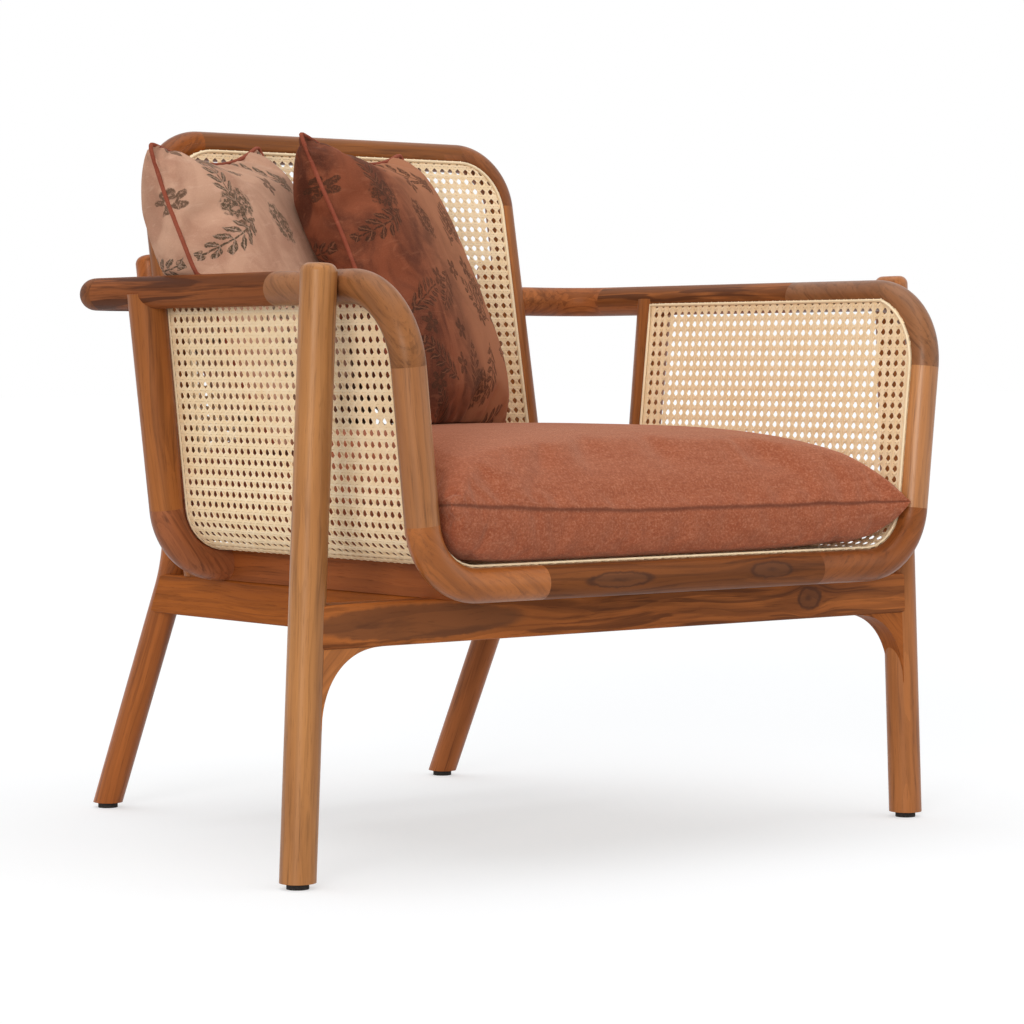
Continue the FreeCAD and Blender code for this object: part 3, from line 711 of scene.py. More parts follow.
def bindEdge(name, shape, node, material):  # a domed strip along a sheet's edge, and a flatter one outside
    place, line = shape[0], shape[5]
    wide, base = caneWork["edgeWidth"] / 2, caneWork["edgeBase"]
    section = [(-1.0, 0.0), (-0.85, 0.55), (-0.45, 0.9), (0.0, 1.0), (0.45, 0.9), (0.85, 0.55), (1.0, 0.0)]
    verts, faces = [], []
    count, sides = len(line), len(section)
    for level, high in ((1, caneWork["edgeHeight"]), (-1, caneWork["outerHeight"])):
        start = len(verts)
        for index, (u, v) in enumerate(line):
            sideU, sideV = sideStep(line[index - 1], line[(index + 1) % count], wide)
            for across, rise in section:
                verts.append(place(u + sideU * across, v + sideV * across, level * (base + high * rise)))
            for step in range(sides):
                following = (step + 1) % sides
                here, there = start + index * sides, start + (index + 1) % count * sides
                loop = (here + following, here + step, there + step, there + following)
                faces.append(loop if level > 0 else loop[::-1])
    mesh = newMesh(name, verts, faces)
    mesh.shade_smooth()
    piece = addPiece(name, mesh, material)
    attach(piece, "chair_frame")
    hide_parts(node)


caneLook = {
    "strand": ((255, 232, 195), (246, 215, 168)), "edge": ((248, 226, 188), (236, 206, 160)),
    "blotch": (55.0, 3.0), "blotchShare": 0.8, "toneShare": 0.5, "toneStart": -0.15,
    "speck": (900.0, 2.0), "speckRange": (0.60, 0.75, 0.0, 0.35), "speckTint": (170, 122, 70),
    "rough": 0.38, "speckRough": 0.2, "bump": (0.25, 0.0004),
}


def makeCane(kind):
    look = caneLook
    material, tree, shader, coords = newMaterial("cane_" + kind)
    pale, deep = [tint(*colour) for colour in look[kind]]
    tone = addNode(tree, "ShaderNodeAttribute", attribute_name="strandTone").outputs["Fac"]
    tone = calc(tree, "MULTIPLY_ADD", tone, look["toneShare"], look["toneStart"])
    speck = noiseValue(tree, coords, *look["speck"])
    share = calc(tree, "MULTIPLY_ADD", noiseValue(tree, coords, *look["blotch"]), look["blotchShare"], tone)
    colour = mixColour(tree, between(tree, share, 0.0, 1.0), pale, deep)
    colour = mixColour(tree, between(tree, speck, *look["speckRange"]), colour, tint(*look["speckTint"]))
    feed(tree, shader, {
        "Base Color": colour, "Normal": bumped(tree, speck, *look["bump"]),
        "Roughness": calc(tree, "MULTIPLY_ADD", speck, look["speckRough"], look["rough"]),
    })
    return material


def makeBackLip():  # rounds the rods of the back off over the rebate beside the webbing
    low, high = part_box("back_cane")
    place = backShape()[0]
    radius, rod, half = caneWork["backCornerRadius"], caneWork["backRod"] / 2, high.x
    length = (high.z - low.z - caneWork["sheetThick"] * math.sin(lean)) / math.cos(lean)
    levels = shares(math.sqrt(rod ** 2 - (rod - caneWork["rebate"]) ** 2), caneWork["lipSteps"])
    names = ["back_left_stile", "back_left_corner", "back_top_rail", "back_right_corner", "back_right_stile"]
    turns = shares(math.pi / 2, caneWork["cornerSteps"])
    upright = straightStops(0.0, length - radius)[:-1]
    farU, farV = half - radius, length - radius
    # each stop: the middle of its arc, the way out from there, and its rod
    stops = [(-farU, v, -1.0, 0.0, 0) for v in upright]
    stops += [(-farU, farV, -math.cos(angle), math.sin(angle), 1) for angle in turns]
    stops += [(u, farV, 0.0, 1.0, 2) for u in straightStops(-farU, farU)[1:-1]]
    stops += [(farU, farV, math.sin(angle), math.cos(angle), 3) for angle in turns]
    stops += [(farU, v, 1.0, 0.0, 4) for v in reversed(upright)]
    section = [(level, math.sqrt(rod ** 2 - level ** 2) - rod) for level in levels]
    section += [(level, caneWork["lipFloor"]) for level in reversed(levels)]
    verts, faces, owners = [], [], []
    sides = len(section)
    for index, (u, v, outU, outV, owner) in enumerate(stops):
        for level, rise in section:
            verts.append(place(u + outU * (radius - level), v + outV * (radius - level), rise))
        if index:
            before, here = (index - 1) * sides, index * sides
            for step in range(sides):
                following = (step + 1) % sides
                faces.append((before + step, here + step, here + following, before + following))
                owners.append(owner)
    mesh = newMesh("back_rod_lip", verts, faces)
    mesh.shade_smooth()
    mesh.set_sharp_from_angle(angle=sharpAngle)
    piece = addPiece("back_rod_lip", mesh, *[nodes[name].data.materials[0] for name in names])
    mesh.polygons.foreach_set("material_index", owners)
    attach(piece, "chair_frame")


caneStrand = makeCane("strand")
caneEdge = makeCane("edge")
weaveCane("tub_cane_webbing", tubShape(), "tub_cane", caneStrand)
weaveCane("back_cane_webbing", backShape(), "back_cane", caneStrand)
bindEdge("tub_cane_binding", tubShape(), "tub_cane_edging", caneEdge)
bindEdge("back_cane_binding", backShape(), "back_cane_edging", caneEdge)
makeBackLip()
print("cane woven")


# stuffed covers

seatCover = {
    "halfWidth": 0.3030, "front": -0.3685, "rear": 0.1506, "seam": 0.3555, "crown": 0.0705, "under": 0.0475,
    "draw": (0.012, 0.014, 0.014, 0.014), "ear": -0.004, "step": 0.0056, "rows": 2.2, "edge": (0.37, 0.40),
    "overFull": (5.0, 3.8, 3.2, 5.0), "underFull": (12.0, 4.2, 40.0, 12.0), "wave": 0.0016, "pucker": 0.0014,
    "pressure": 4.0, "ease": -0.03, "cap": 0.010, "groove": 0.0018, "lift": 0.011, "heldBelow": 0.9,
}
pillowCover = {
    "width": 0.325, "height": 0.342, "front": 0.043, "back": 0.053, "yaw": 34.0, "lean": 22.5,
    "draw": (0.0, 0.017, 0.026, 0.014), "ear": 0.006, "step": 0.0058, "rows": 1.9, "edge": (0.52, 0.42),
    "overFull": (3.2, 3.2, 3.2, 2.2), "underFull": (3.2, 3.2, 3.2, 3.2), "wave": 0.0008, "pucker": 0.0011,
    "pressure": 4.0, "ease": -0.05, "cap": 0.010, "lift": 0.0, "pipe": 0.0023, "pipeSides": 8,
}
coverForm = {  # what all covers share
    "earPower": 16, "drawPower": 3, "liftFrom": 0.1, "liftTo": 0.3, "liftPower": 1.5,
    "foldScale": 60, "foldLayers": {"over": 7.0, "under": 13.0}, "foldFade": 0.022, "foldStart": 8,
    "waveScale": 24, "waveLayer": 3.0, "wavePower": 4,
}


def coverMesh(name, halfX, halfY, over, under, cover, curl=0.0):  # curl: how far the left edge bows back
    low, right, high, left = cover["draw"]  # how far each edge pulls in
    edge, form = cover["edge"], coverForm
    countX = round(2 * halfX / cover["step"])
    countY = round(2 * halfY / cover["step"])
    verts, faces, grid = [], [], {}

    def nearSeam(share):  # rows lie closer together towards the seam
        return math.copysign(1 - (1 - abs(share)) ** cover["rows"], share)

    def spot(i, j, full, sharp):
        s, t = nearSeam(2 * i / countX - 1), nearSeam(2 * j / countY - 1)
        tip = cover["ear"] * abs(s * t) ** form["earPower"]
        drawX = (right if s > 0 else left) * (1 - t * t) * abs(s) ** form["drawPower"]
        drawY = (high if t > 0 else low) * (1 - s * s) * abs(t) ** form["drawPower"]
        fullX, fullY = full[1 if s > 0 else 0], full[3 if t > 0 else 2]
        rise = ((1 - abs(s) ** fullX) * (1 - abs(t) ** fullY)) ** sharp
        turnUp = cover["lift"] * max(0.0, -s - form["liftFrom"]) ** form["liftPower"]
        turnUp *= max(0.0, form["liftTo"] - t)
        bow = curl * (1 - t * t) * max(0.0, -s) ** form["drawPower"]
        x = s * halfX - math.copysign(1, s) * (drawX + tip)
        y = t * halfY - math.copysign(1, t) * (drawY + tip)
        return x, y, rise, turnUp * (1 - rise) - bow

    def ripple(x, y, scale, layer):
        return noise.noise(Vector((x * scale, y * scale, layer)))

    for face, height, full, sharp in (("over", over, cover["overFull"], edge[0]),
                                      ("under", -under, cover["underFull"], edge[1])):
        for i in range(countX + 1):
            for j in range(countY + 1):
                onSeam = i in (0, countX) or j in (0, countY)
                if onSeam and face == "under":
                    grid[face, i, j] = grid["over", i, j]
                    continue
                x, y, rise, turnUp = spot(i, j, full, sharp)
                fold = ripple(x, y, form["foldScale"], form["foldLayers"][face])
                gather = cover["pucker"] * fold * math.exp(-rise * abs(height) / form["foldFade"])
                gather = math.copysign(gather, height) * min(1.0, form["foldStart"] * rise)
                level = ripple(x, y, form["waveScale"], form["waveLayer"])
                level = cover["wave"] * level * (1 - rise) ** form["wavePower"]
                grid[face, i, j] = len(verts)
                verts.append((x, y, level + turnUp + (0.0 if onSeam else rise * height + gather)))
        for i in range(countX):
            for j in range(countY):
                loop = [grid[face, i + ahead, j + up] for ahead, up in ((0, 0), (1, 0), (1, 1), (0, 1))]
                faces.append(loop if face == "over" else loop[::-1])
    seam = [grid["over", i, 0] for i in range(countX)]
    seam += [grid["over", countX, j] for j in range(countY)]
    seam += [grid["over", i, countY] for i in range(countX, 0, -1)]
    seam += [grid["over", 0, j] for j in range(countY, 0, -1)]
    mesh = newMesh(name, verts, faces)
    onSeam = [0.0] * len(verts)
    for index in seam:
        onSeam[index] = 1.0
    mesh.attributes.new("seamLine", "FLOAT", "POINT").data.foreach_set("value", onSeam)
    return addPiece(name, mesh), seam


def sinkSeam(piece, seam, depth):  # draws the sewn line in between the two swollen panels
    spots = [piece.data.vertices[index].co.copy() for index in seam]
    for place, index in enumerate(seam):
        run = spots[(place + 1) % len(seam)] - spots[place - 1]
        inward = Vector((-run.y, run.x, 0)).normalized()
        piece.data.vertices[index].co = spots[place] + inward * depth


contact = {  # lengths in metres, and how a push spreads to the points around
    "gap": 0.0008, "least": 1e-6, "search": 0.05, "depth": 0.08, "sheet": 0.0030, "rounds": 5, "fade": 0.9,
}


def settle(piece, seam, barriers, pipe):  # moves a cover clear of what it leans on, with a soft dent there
    mesh = piece.data
    place = piece.matrix_world
    onSeam = set(seam)
    push = {}
    for vertex in mesh.vertices:
        start = place @ vertex.co
        spot = start.copy()
        gap = pipe + contact["gap"] if vertex.index in onSeam else contact["gap"]
        for barrier in barriers:
            spot = barrier(spot, gap)
        if (spot - start).length > contact["least"]:
            push[vertex.index] = spot - start
    around = {}
    for edge in mesh.edges:
        first, second = edge.vertices
        around.setdefault(first, []).append(second)
        around.setdefault(second, []).append(first)
    field = dict(push)
    for step in range(contact["rounds"]):
        spread = {}
        for index in field:
            for other in around[index]:
                if other not in field:
                    spread.setdefault(other, []).append(field[index])
        for index, pushes in spread.items():
            field[index] = sum(pushes, Vector()) / len(around[index]) * contact["fade"]
    turn = place.inverted().to_3x3()
    for index, travel in field.items():
        mesh.vertices[index].co += turn @ travel
    print(piece.name, "points moved clear", len(push))


def solidBarrier(objects):
    verts, faces = [], []
    for item in objects:
        start = len(verts)
        verts += [item.matrix_world @ vertex.co for vertex in item.data.vertices]
        faces += [[start + index for index in polygon.vertices] for polygon in item.data.polygons]
    tree = BVHTree.FromPolygons(verts, faces)

    def barrier(spot, gap):
        near, normal = tree.find_nearest(spot, contact["search"])[:2]
        if near is not None and (spot - near).dot(normal) < gap:
            return near + normal * gap
        return spot
    return barrier


def sheetBarrier(shape, margin):  # keeps a cover on the inner side of a flat cane sheet
    place, half, length = shape[0], shape[2], shape[3]
    foot = place(0, 0, 0)
    rise = (place(0, length, 0) - foot).normalized()
    inner = (place(0, 0, 1) - foot).normalized()

    def barrier(spot, gap):
        offset = spot - foot
        depth = offset.dot(inner)
        beside = abs(spot.x) < half and 0 < offset.dot(rise) < length
        if beside and -contact["depth"] < depth < margin + gap:
            return spot + inner * (margin + gap - depth)
        return spot
    return barrier


def sideBarrier(shape, margin):  # the same for the left side of the tub
    place, half = shape[0], shape[2]
    top = place(-half, 0, 0)
    inner = (place(-half, 0, 1) - top).normalized()

    def barrier(spot, gap):
        depth = (spot - top).dot(inner)
        if spot.z < top.z and spot.x < 0 and -contact["depth"] < depth < margin + gap:
            return spot + inner * (margin + gap - depth)
        return spot
    return barrier


stuffing = {  # the cloth while a cover swells
    "quality": 6, "mass": 0.25, "tension_stiffness": 12.0, "compression_stiffness": 12.0,
    "shear_stiffness": 6.0, "bending_stiffness": 0.4, "use_pressure": True,
}
swellFrames = 20


def swell(piece, pinned, cover):
    start = [vertex.co.copy() for vertex in piece.data.vertices]
    group = piece.vertex_groups.new(name="held")
    for index in pinned:
        group.add([index], 1.0, "REPLACE")
    cloth = piece.modifiers.new("swell", "CLOTH")
    settings = cloth.settings
    for key, value in stuffing.items():
        setattr(settings, key, value)
    settings.uniform_pressure_force = cover["pressure"]
    settings.shrink_min = cover["ease"]
    settings.vertex_group_mass = "held"
    settings.effector_weights.gravity = 0.0
    cloth.collision_settings.use_collision = False
    cloth.point_cache.frame_start = 1
    cloth.point_cache.frame_end = swellFrames
    scene = bpy.context.scene
    for step in range(1, swellFrames + 1):
        scene.frame_set(step)
    swollen = piece.evaluated_get(bpy.context.evaluated_depsgraph_get())
    moved = swollen.to_mesh()
    for vertex, first in zip(piece.data.vertices, start):
        travel = moved.vertices[vertex.index].co - first
        if travel.length > cover["cap"]:
            travel = travel.normalized() * cover["cap"]
        vertex.co = first + travel
    swollen.to_mesh_clear()
    piece.modifiers.remove(cloth)
    piece.vertex_groups.clear()
    scene.frame_set(1)
    piece.data.update()


def finishCover(piece, material, body, node):
    sub = piece.modifiers.new("smooth", "SUBSURF")
    sub.levels = 1
    sub.render_levels = 1
    graph = bpy.context.evaluated_depsgraph_get()
    smooth = bpy.data.meshes.new_from_object(piece.evaluated_get(graph))
    piece.modifiers.clear()
    piece.data = smooth
    smooth.shade_smooth()
    smooth.materials.clear()
    smooth.materials.append(material)
    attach(piece, body)
    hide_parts(node)


def sweepTube(name, points, radius, sides, material):
    verts, faces = [], []
    count = len(points)
    for index, point in enumerate(points):
        way = (points[(index + 1) % count] - points[index - 1]).normalized()
        across = way.cross(Vector((0, 0, 1))).normalized()
        rise = across.cross(way).normalized()
        here, there = index * sides, (index + 1) % count * sides
        for step in range(sides):
            angle = 2 * math.pi * step / sides
            following = (step + 1) % sides
            verts.append(point + across * math.cos(angle) * radius + rise * math.sin(angle) * radius)
            faces.append((here + step, here + following, there + following, there + step))
    mesh = newMesh(name, verts, faces)
    mesh.shade_smooth()
    return addPiece(name, mesh, material)


# cloth materials

threadNoise = {  # scale along the two ways of the threads, detail, roughness
    "jitter": (0.05, 0.3, 2.0, 0.55), "dash": (0.22, 0.80, 3.0, 0.6), "slub": (0.03, 0.5, 2.0, 0.55),
    "melange": (0.06, 0.14, 4.0, 0.6),
}
threadForm = {"sway": 1.4, "slubRange": (0.58, 0.75), "fleckRange": (0.55, 0.75),
              "cellHeight": 0.35, "dashHeight": 0.7, "slubHeight": 0.8}


def makeClothWeave():
    tree, given, result = newGroup("cloth_weave", [
        ("Across", "NodeSocketFloat", 0.0), ("Along", "NodeSocketFloat", 0.0),
        ("Pitch", "NodeSocketFloat", 0.0012), ("Slub", "NodeSocketFloat", 1.0),
    ], [("Height", "NodeSocketFloat"), ("Fleck", "NodeSocketFloat"), ("Melange", "NodeSocketFloat")])
    form = threadForm
    u = calc(tree, "DIVIDE", given["Across"], given["Pitch"])
    v = calc(tree, "DIVIDE", given["Along"], given["Pitch"])
    layers = {}
    for name, (scaleU, scaleV, detail, rough) in threadNoise.items():
        spot = addNode(tree, "ShaderNodeCombineXYZ", {0: times(tree, u, scaleU), 1: times(tree, v, scaleV)})
        layers[name] = noiseValue(tree, spot.outputs[0], 1.0, detail, rough)
    weft = calc(tree, "MULTIPLY_ADD", layers["jitter"], form["sway"], v)
    warp = calc(tree, "ADD", u, layers["jitter"])
    waves = [calc(tree, "SINE", times(tree, thread, 2 * math.pi)) for thread in (weft, warp)]
    slubs = times(tree, between(tree, layers["slub"], *form["slubRange"]), given["Slub"])
    height = times(tree, slubs, form["slubHeight"])
    height = calc(tree, "MULTIPLY_ADD", layers["dash"], form["dashHeight"], height)
    feed(tree, result, {
        "Height": calc(tree, "MULTIPLY_ADD", times(tree, *waves), form["cellHeight"], height),
        "Fleck": calc(tree, "MAXIMUM", between(tree, layers["dash"], *form["fleckRange"]), slubs),
        "Melange": layers["melange"],
    })
    return tree


linenLook = {
    "pitch": 0.0017, "slub": 0.5, "deep": (155, 82, 54), "pale": (163, 90, 61), "melangeRange": (0.35, 0.65),
    "grit": (420.0, 3.0, 0.7), "fleckShare": 0.42, "fleckTint": (198, 136, 106),
    "paleGrit": (0.50, 0.68, 0.0, 0.55), "paleTint": (192, 128, 98),
    "darkGrit": (0.34, 0.50, 0.55, 0.0), "darkTint": (128, 68, 48),
    # the seam colour is painted shade in the sewn crease
    "seamRange": (0.3, 1.0, 0.0, 0.7), "creaseShadeTint": (84, 38, 26),
    "sheenTint": (234, 192, 166), "bump": (0.45, 0.0007),
}
linenFinish = {"Roughness": 0.92, "Specular IOR Level": 0.12, "Sheen Weight": 0.38, "Sheen Roughness": 0.5}


def makeLinen():
    look = linenLook
    material, tree, shader, coords = newMaterial("terracotta_linen")
    parts = addNode(tree, "ShaderNodeSeparateXYZ", {0: coords}).outputs
    along = calc(tree, "ADD", parts[1], parts[2])  # rearwards on top, upwards on the front
    weave = useGroup(tree, clothWeave, {"Across": parts[0], "Along": along, "Pitch": look["pitch"],
                                        "Slub": look["slub"]})
    grit = noiseValue(tree, coords, *look["grit"])
    # the seam line is darkened: painted shade in the sewn crease
    seam = addNode(tree, "ShaderNodeAttribute", attribute_name="seamLine").outputs["Fac"]
    melange = between(tree, weave["Melange"], *look["melangeRange"])
    colour = mixColour(tree, melange, tint(*look["deep"]), tint(*look["pale"]))
    for share, stain in ((times(tree, weave["Fleck"], look["fleckShare"]), "fleckTint"),
                         (between(tree, grit, *look["paleGrit"]), "paleTint"),
                         (between(tree, grit, *look["darkGrit"]), "darkTint"),
                         (between(tree, seam, *look["seamRange"]), "creaseShadeTint")):
        colour = mixColour(tree, share, colour, tint(*look[stain]))
    feed(tree, shader, {"Base Color": colour, "Sheen Tint": tint(*look["sheenTint"]),
                        "Normal": bumped(tree, weave["Height"], *look["bump"]), **linenFinish})
    return material


clothWeave = makeClothWeave()
linen = makeLinen()

sprigForm = {  # lengths in metres, and ranges with what they turn into
    "ruffle": (160.0, 2.0, (0.004, 0.004, 0.0)), "flatten": (1.0, 1.0, 0.0), "strewing": 0.6,
    "hatchStretch": (1.0, 0.35, 1.0), "hatch": (950.0, 2.0), "hatchRange": (0.36, 0.50, 0.35, 1.0),
    "sprigShift": (0.37, 0.21, 0.0), "stemBend": 3.0, "stemEnd": (0.96, 1.0, 1.0, 0.0),
    "stem": (0.0006, 0.0013, 1.0, 0.0), "leafSweep": 0.75, "leafPitch": 0.0112, "leafLeast": 0.0005,
    "leafWidth": 0.0046, "leafEdge": (0.0, 0.0009), "leafVein": (0.0003, 0.0009, 1.0, 0.0),
    "sprigChance": (0.12, 0.14),
    "flowerShift": (1.63, 2.11, 0.0), "flowerSpacing": 0.74, "petalTurns": 2.5, "petalLong": 0.0085,
    "petalStart": 0.0055, "petalEdge": (0.0, 0.0014), "flowerEye": (0.0022, 0.0036, 0.25, 1.0),
    "flowerChance": (0.40, 0.42),
    "clumpShift": (2.93, 0.81, 0.0), "clumpSpacing": 1.2, "clumpFlat": 2.2,
    "ragged": (95.0, 3.0), "raggedReach": 0.030,
    "clumpEdge": (0.036, 0.043, 1.0, 0.0), "dabScale": 230.0, "dabRange": (0.42, 0.62, 1.0, 0.25),
    "clumpChance": (0.30, 0.32),
}


def makeSprigPrint():  # sprigs of paired leaflets, five-petal flowers and leaf clumps, strewn about
    tree, given, result = newGroup("sprig_print", [
        ("Vector", "NodeSocketVector", None), ("Spacing", "NodeSocketFloat", 0.078),
        ("Reach", "NodeSocketFloat", 0.038), ("Leaflet", "NodeSocketFloat", 0.017),
    ], [("Leaf", "NodeSocketFloat"), ("Vein", "NodeSocketFloat"), ("Flower", "NodeSocketFloat")])
    form = sprigForm
    ruffle = shiver(tree, given["Vector"], *form["ruffle"])
    flat = vectorCalc(tree, "ADD", stretch(tree, given["Vector"], form["flatten"]), ruffle)
    hatch = noiseValue(tree, stretch(tree, flat, form["hatchStretch"]), *form["hatch"])
    hatch = between(tree, hatch, *form["hatchRange"])

    def strewn(shift, spacing):
        moved = vectorCalc(tree, "ADD", flat, shift)
        spots = addNode(tree, "ShaderNodeTexVoronoi", {
            "Vector": moved, "Scale": calc(tree, "DIVIDE", 1.0, spacing), "Randomness": form["strewing"],
        }, voronoi_dimensions="2D", feature="F1").outputs
        offset = vectorCalc(tree, "SUBTRACT", moved, spots["Position"])
        chance = addNode(tree, "ShaderNodeSeparateColor", {0: spots["Color"]}).outputs
        turned = addNode(tree, "ShaderNodeVectorRotate", {
            "Vector": offset, "Angle": times(tree, chance[0], 2 * math.pi)}, rotation_type="Z_AXIS")
        parts = addNode(tree, "ShaderNodeSeparateXYZ", {0: turned.outputs[0]}).outputs
        return parts[0], parts[1], chance[1]

    def squared(value):
        return times(tree, value, value)

    along, across, chance = strewn(form["sprigShift"], given["Spacing"])
    across = calc(tree, "ADD", across, times(tree, squared(along), form["stemBend"]))
    side = calc(tree, "ABSOLUTE", across)
    share = calc(tree, "DIVIDE", along, given["Reach"])
    taper = calc(tree, "SUBTRACT", 1.0, squared(share), clamp=True)
    inReach = between(tree, calc(tree, "ABSOLUTE", share), *form["stemEnd"])
    leafLength = calc(tree, "MAXIMUM", times(tree, taper, given["Leaflet"]), form["leafLeast"])
    swept = calc(tree, "SUBTRACT", along, times(tree, side, form["leafSweep"]))
    row = calc(tree, "FRACT", calc(tree, "DIVIDE", swept, form["leafPitch"]))
    fromMiddle = calc(tree, "ABSOLUTE", calc(tree, "SUBTRACT", row, 0.5))
    fromMiddle = times(tree, fromMiddle, form["leafPitch"])
    out = calc(tree, "MINIMUM", calc(tree, "DIVIDE", side, leafLength), 1.0)
    width = times(tree, calc(tree, "SINE", times(tree, out, math.pi)), form["leafWidth"])
    leaf = between(tree, calc(tree, "SUBTRACT", width, fromMiddle), *form["leafEdge"])
    leaf = times(tree, calc(tree, "MAXIMUM", leaf, between(tree, side, *form["stem"])), inReach)
    leaf = times(tree, leaf, between(tree, chance, *form["sprigChance"]))
    vein = times(tree, leaf, between(tree, fromMiddle, *form["leafVein"]))

    first, second, luck = strewn(form["flowerShift"], times(tree, given["Spacing"], form["flowerSpacing"]))
    radius = calc(tree, "SQRT", calc(tree, "ADD", squared(first), squared(second)))
    angle = times(tree, calc(tree, "ARCTAN2", second, first), form["petalTurns"])
    petals = calc(tree, "ABSOLUTE", calc(tree, "COSINE", angle))
    petals = calc(tree, "MULTIPLY_ADD", petals, form["petalLong"], form["petalStart"])
    flower = between(tree, calc(tree, "SUBTRACT", petals, radius), *form["petalEdge"])
    flower = times(tree, flower, between(tree, radius, *form["flowerEye"]))
    flower = times(tree, flower, between(tree, luck, *form["flowerChance"]))
    flower = times(tree, flower, calc(tree, "SUBTRACT", 1.0, leaf))

    east, north, fate = strewn(form["clumpShift"], times(tree, given["Spacing"], form["clumpSpacing"]))
    spread = calc(tree, "ADD", squared(east), times(tree, squared(north), form["clumpFlat"]))
    ragged = noiseValue(tree, flat, *form["ragged"])
    clump = calc(tree, "MULTIPLY_ADD", ragged, form["raggedReach"], calc(tree, "SQRT", spread))
    clump = between(tree, clump, *form["clumpEdge"])
    dabs = addNode(tree, "ShaderNodeTexVoronoi", {"Vector": flat, "Scale": form["dabScale"]},
                   voronoi_dimensions="2D", feature="F1").outputs["Distance"]
    clump = times(tree, clump, between(tree, dabs, *form["dabRange"]))
    clump = times(tree, clump, between(tree, fate, *form["clumpChance"]))
    leaf = calc(tree, "MAXIMUM", leaf, clump)
    feed(tree, result, {"Leaf": times(tree, leaf, hatch), "Vein": vein, "Flower": times(tree, flower, hatch)})
    return tree


sprigPrint = makeSprigPrint()
velvets = {  # ground, shaded and lit nap, leaf ink, flower ink, right-hand tint (painted sheen and shade on that side)
    "pink_velvet": {
        "ground": (200, 156, 130), "shade": (176, 130, 106), "lit": (222, 184, 160), "leaf": (62, 54, 40),
        "flower": (92, 68, 52), "inkShare": 0.92, "side": (188, 146, 120), "sheenSideShare": 0.3},
    "rust_velvet": {
        "ground": (134, 73, 49), "shade": (86, 46, 33), "lit": (168, 106, 78), "leaf": (56, 38, 28),
        "flower": (66, 42, 30), "inkShare": 0.86, "side": (172, 116, 85), "sheenSideShare": 0.95},
    "piping_velvet": {"ground": (152, 80, 60), "shade": (132, 66, 48), "lit": (180, 108, 86)},
}
velvetPile = {
    "napStretch": (1.0, 0.6, 1.0), "nap": (22.0, 4.0, 0.6, 0.8), "napRange": (0.34, 0.66), "napHeight": 0.7,
    "crushStretch": (0.5, 2.2, 1.0), "crush": (60.0, 3.0, 0.6, 0.6), "crushRange": (0.56, 0.74, 0.0, 0.26),
    "crushHeight": 0.9, "fine": (900.0, 3.0, 0.6), "fineRange": (0.45, 0.75, 0.0, 0.22), "fineHeight": 0.35,
    "sheenSideDrift": 0.14, "sheenSideShift": 0.07, "sheenSideRange": (-0.11, 0.08), "veinShare": 0.35,
    "bump": (0.30, 0.0012),
}
velvetFinish = {"Roughness": 0.9, "Specular IOR Level": 0.12, "Sheen Weight": 0.22, "Sheen Roughness": 0.4}


def makeVelvet(name):
    pile = velvetPile
    colours = {key: tint(*value) for key, value in velvets[name].items() if isinstance(value, tuple)}
    material, tree, shader, coords = newMaterial(name)
    nap = noiseValue(tree, stretch(tree, coords, pile["napStretch"]), *pile["nap"])
    crush = noiseValue(tree, stretch(tree, coords, pile["crushStretch"]), *pile["crush"])
    fine = noiseValue(tree, coords, *pile["fine"])
    layers = [(between(tree, crush, *pile["crushRange"]), "lit")]
    if "leaf" in colours:
        ink, sheenSideShare = velvets[name]["inkShare"], velvets[name]["sheenSideShare"]
        # painted sheen and shade: the cloth turns to the side tint towards its right-hand side
        across = addNode(tree, "ShaderNodeSeparateXYZ", {0: coords}).outputs[0]
        sheenSide = calc(tree, "SUBTRACT", across, pile["sheenSideShift"])
        sheenSide = calc(tree, "MULTIPLY_ADD", nap, pile["sheenSideDrift"], sheenSide)
        marks = useGroup(tree, sprigPrint, {"Vector": coords})
        layers += [(between(tree, sheenSide, *pile["sheenSideRange"], 0.0, sheenSideShare), "side"),
                   (times(tree, marks["Flower"], ink), "flower"), (times(tree, marks["Leaf"], ink), "leaf"),
                   (times(tree, marks["Vein"], pile["veinShare"]), "lit")]
    layers.append((between(tree, fine, *pile["fineRange"]), "lit"))
    colour = mixColour(tree, between(tree, nap, *pile["napRange"]), colours["shade"], colours["ground"])
    for share, key in layers:
        colour = mixColour(tree, share, colour, colours[key])
    height = times(tree, fine, pile["fineHeight"])
    for layer, amount in ((nap, "napHeight"), (crush, "crushHeight")):
        height = calc(tree, "MULTIPLY_ADD", layer, pile[amount], height)
    feed(tree, shader, {"Base Color": colour, "Sheen Tint": colours["lit"],
                        "Normal": bumped(tree, height, *pile["bump"]), **velvetFinish})
    return material


pinkVelvet = makeVelvet("pink_velvet")
rustVelvet = makeVelvet("rust_velvet")
pipeVelvet = makeVelvet("piping_velvet")
print("cloth materials made")


def pillowPlace(centre, roll):
    turn = Euler((0, 0, math.radians(pillowCover["yaw"]))).to_matrix()
    stand = Euler((math.radians(90 - pillowCover["lean"]), 0, 0)).to_matrix()
    tilt = Euler((0, 0, math.radians(roll))).to_matrix()
    place = (turn @ stand @ tilt).to_4x4()
    place.translation = Vector(centre) + footprintShift
    return place


def makePillow(name, centre, roll, curl):
    cover = pillowCover
    halfX, halfY = cover["width"] / 2, cover["height"] / 2
    piece, seam = coverMesh(name, halfX, halfY, cover["front"], cover["back"], cover, curl)
    swell(piece, seam, cover)
    piece.matrix_world = pillowPlace(centre, roll)
    return piece, seam


def addPiping(piece, seam):
    line = [piece.data.vertices[index].co.copy() for index in seam]
    pipe = sweepTube(piece.name + "_piping", line, pillowCover["pipe"], pillowCover["pipeSides"], pipeVelvet)
    pipe.matrix_world = piece.matrix_world
    return pipe


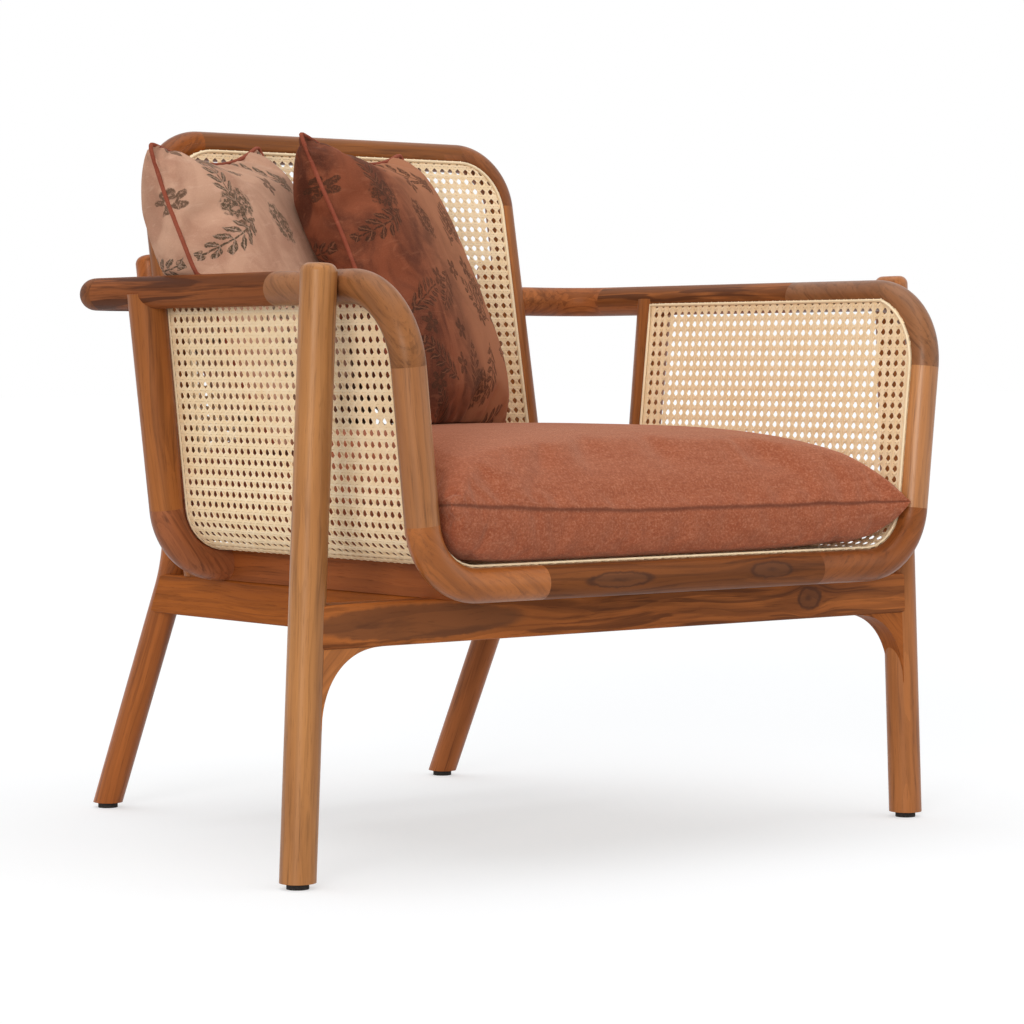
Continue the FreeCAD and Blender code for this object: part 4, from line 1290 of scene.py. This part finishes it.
seatMiddle = Vector((0, (seatCover["front"] + seatCover["rear"]) / 2, seatCover["seam"]))
seatPiece, seatSeam = coverMesh("seat_cushion_cover", seatCover["halfWidth"],
                                (seatCover["rear"] - seatCover["front"]) / 2, seatCover["crown"],
                                seatCover["under"], seatCover)
held = set(seatSeam)
for vertex in seatPiece.data.vertices:
    if vertex.co.z < -seatCover["heldBelow"] * seatCover["under"]:
        held.add(vertex.index)
swell(seatPiece, held, seatCover)
sinkSeam(seatPiece, seatSeam, seatCover["groove"])
seatPiece.matrix_world = Matrix.Translation(seatMiddle)
print("seat cushion swollen")

leftPillow, leftSeam = makePillow("left_pillow_cover", (-0.210, 0.341, 0.578), 3.0, 0.012)
middlePillow, middleSeam = makePillow("middle_pillow_cover", (-0.0255, 0.338, 0.5870), -1.0, 0.0)
bpy.context.view_layer.update()
rods = ["left_arm_rail", "left_arm_front_elbow", "left_arm_rear_elbow", "rear_left_post", "rear_left_leg",
        "back_left_stile", "back_left_corner", "back_top_rail"]
leansOn = [solidBarrier([nodes[name] for name in rods]), sheetBarrier(backShape(), contact["sheet"]),
           sideBarrier(tubShape(), contact["sheet"]), solidBarrier([seatPiece])]
settle(leftPillow, leftSeam, leansOn, pillowCover["pipe"])
settle(middlePillow, middleSeam, leansOn + [solidBarrier([leftPillow])], pillowCover["pipe"])
leftPipe = addPiping(leftPillow, leftSeam)
middlePipe = addPiping(middlePillow, middleSeam)

finishCover(seatPiece, linen, "seat_cushion", "seat_cushion")
finishCover(leftPillow, pinkVelvet, "left_pillow", "left_pillow")
finishCover(middlePillow, rustVelvet, "middle_pillow", "middle_pillow")
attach(leftPipe, "left_pillow")
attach(middlePipe, "middle_pillow")
print("cushions made")


# dowels, screws and glides

plainLooks = {  # node: material, two colours, scale of the wear, metal, roughness
    "joint_dowels": ("dowel_wood", (196, 150, 98), (168, 118, 70), 180.0, 0.0, 0.55),
    "rail_screws": ("screw_steel", (120, 116, 110), (92, 88, 84), 300.0, 1.0, 0.35),
    "foot_glides": ("glide_felt", (46, 40, 36), (30, 26, 24), 500.0, 0.0, 0.8),
}
plainWear = {"detail": 4.0, "range": (0.35, 0.7), "rough": 0.2, "bump": (0.2, 0.0004)}


def makePlain(name, first, second, scale, metal, rough):
    material, tree, shader, coords = newMaterial(name)
    wear = noiseValue(tree, coords, scale, plainWear["detail"])
    colour = mixColour(tree, between(tree, wear, *plainWear["range"]), tint(*first), tint(*second))
    feed(tree, shader, {
        "Base Color": colour, "Roughness": calc(tree, "MULTIPLY_ADD", wear, plainWear["rough"], rough),
        "Metallic": metal, "Normal": bumped(tree, wear, *plainWear["bump"]),
    })
    return material


for name, look in plainLooks.items():
    dress(name, makePlain(*look))
print("dowels, screws and glides finished")
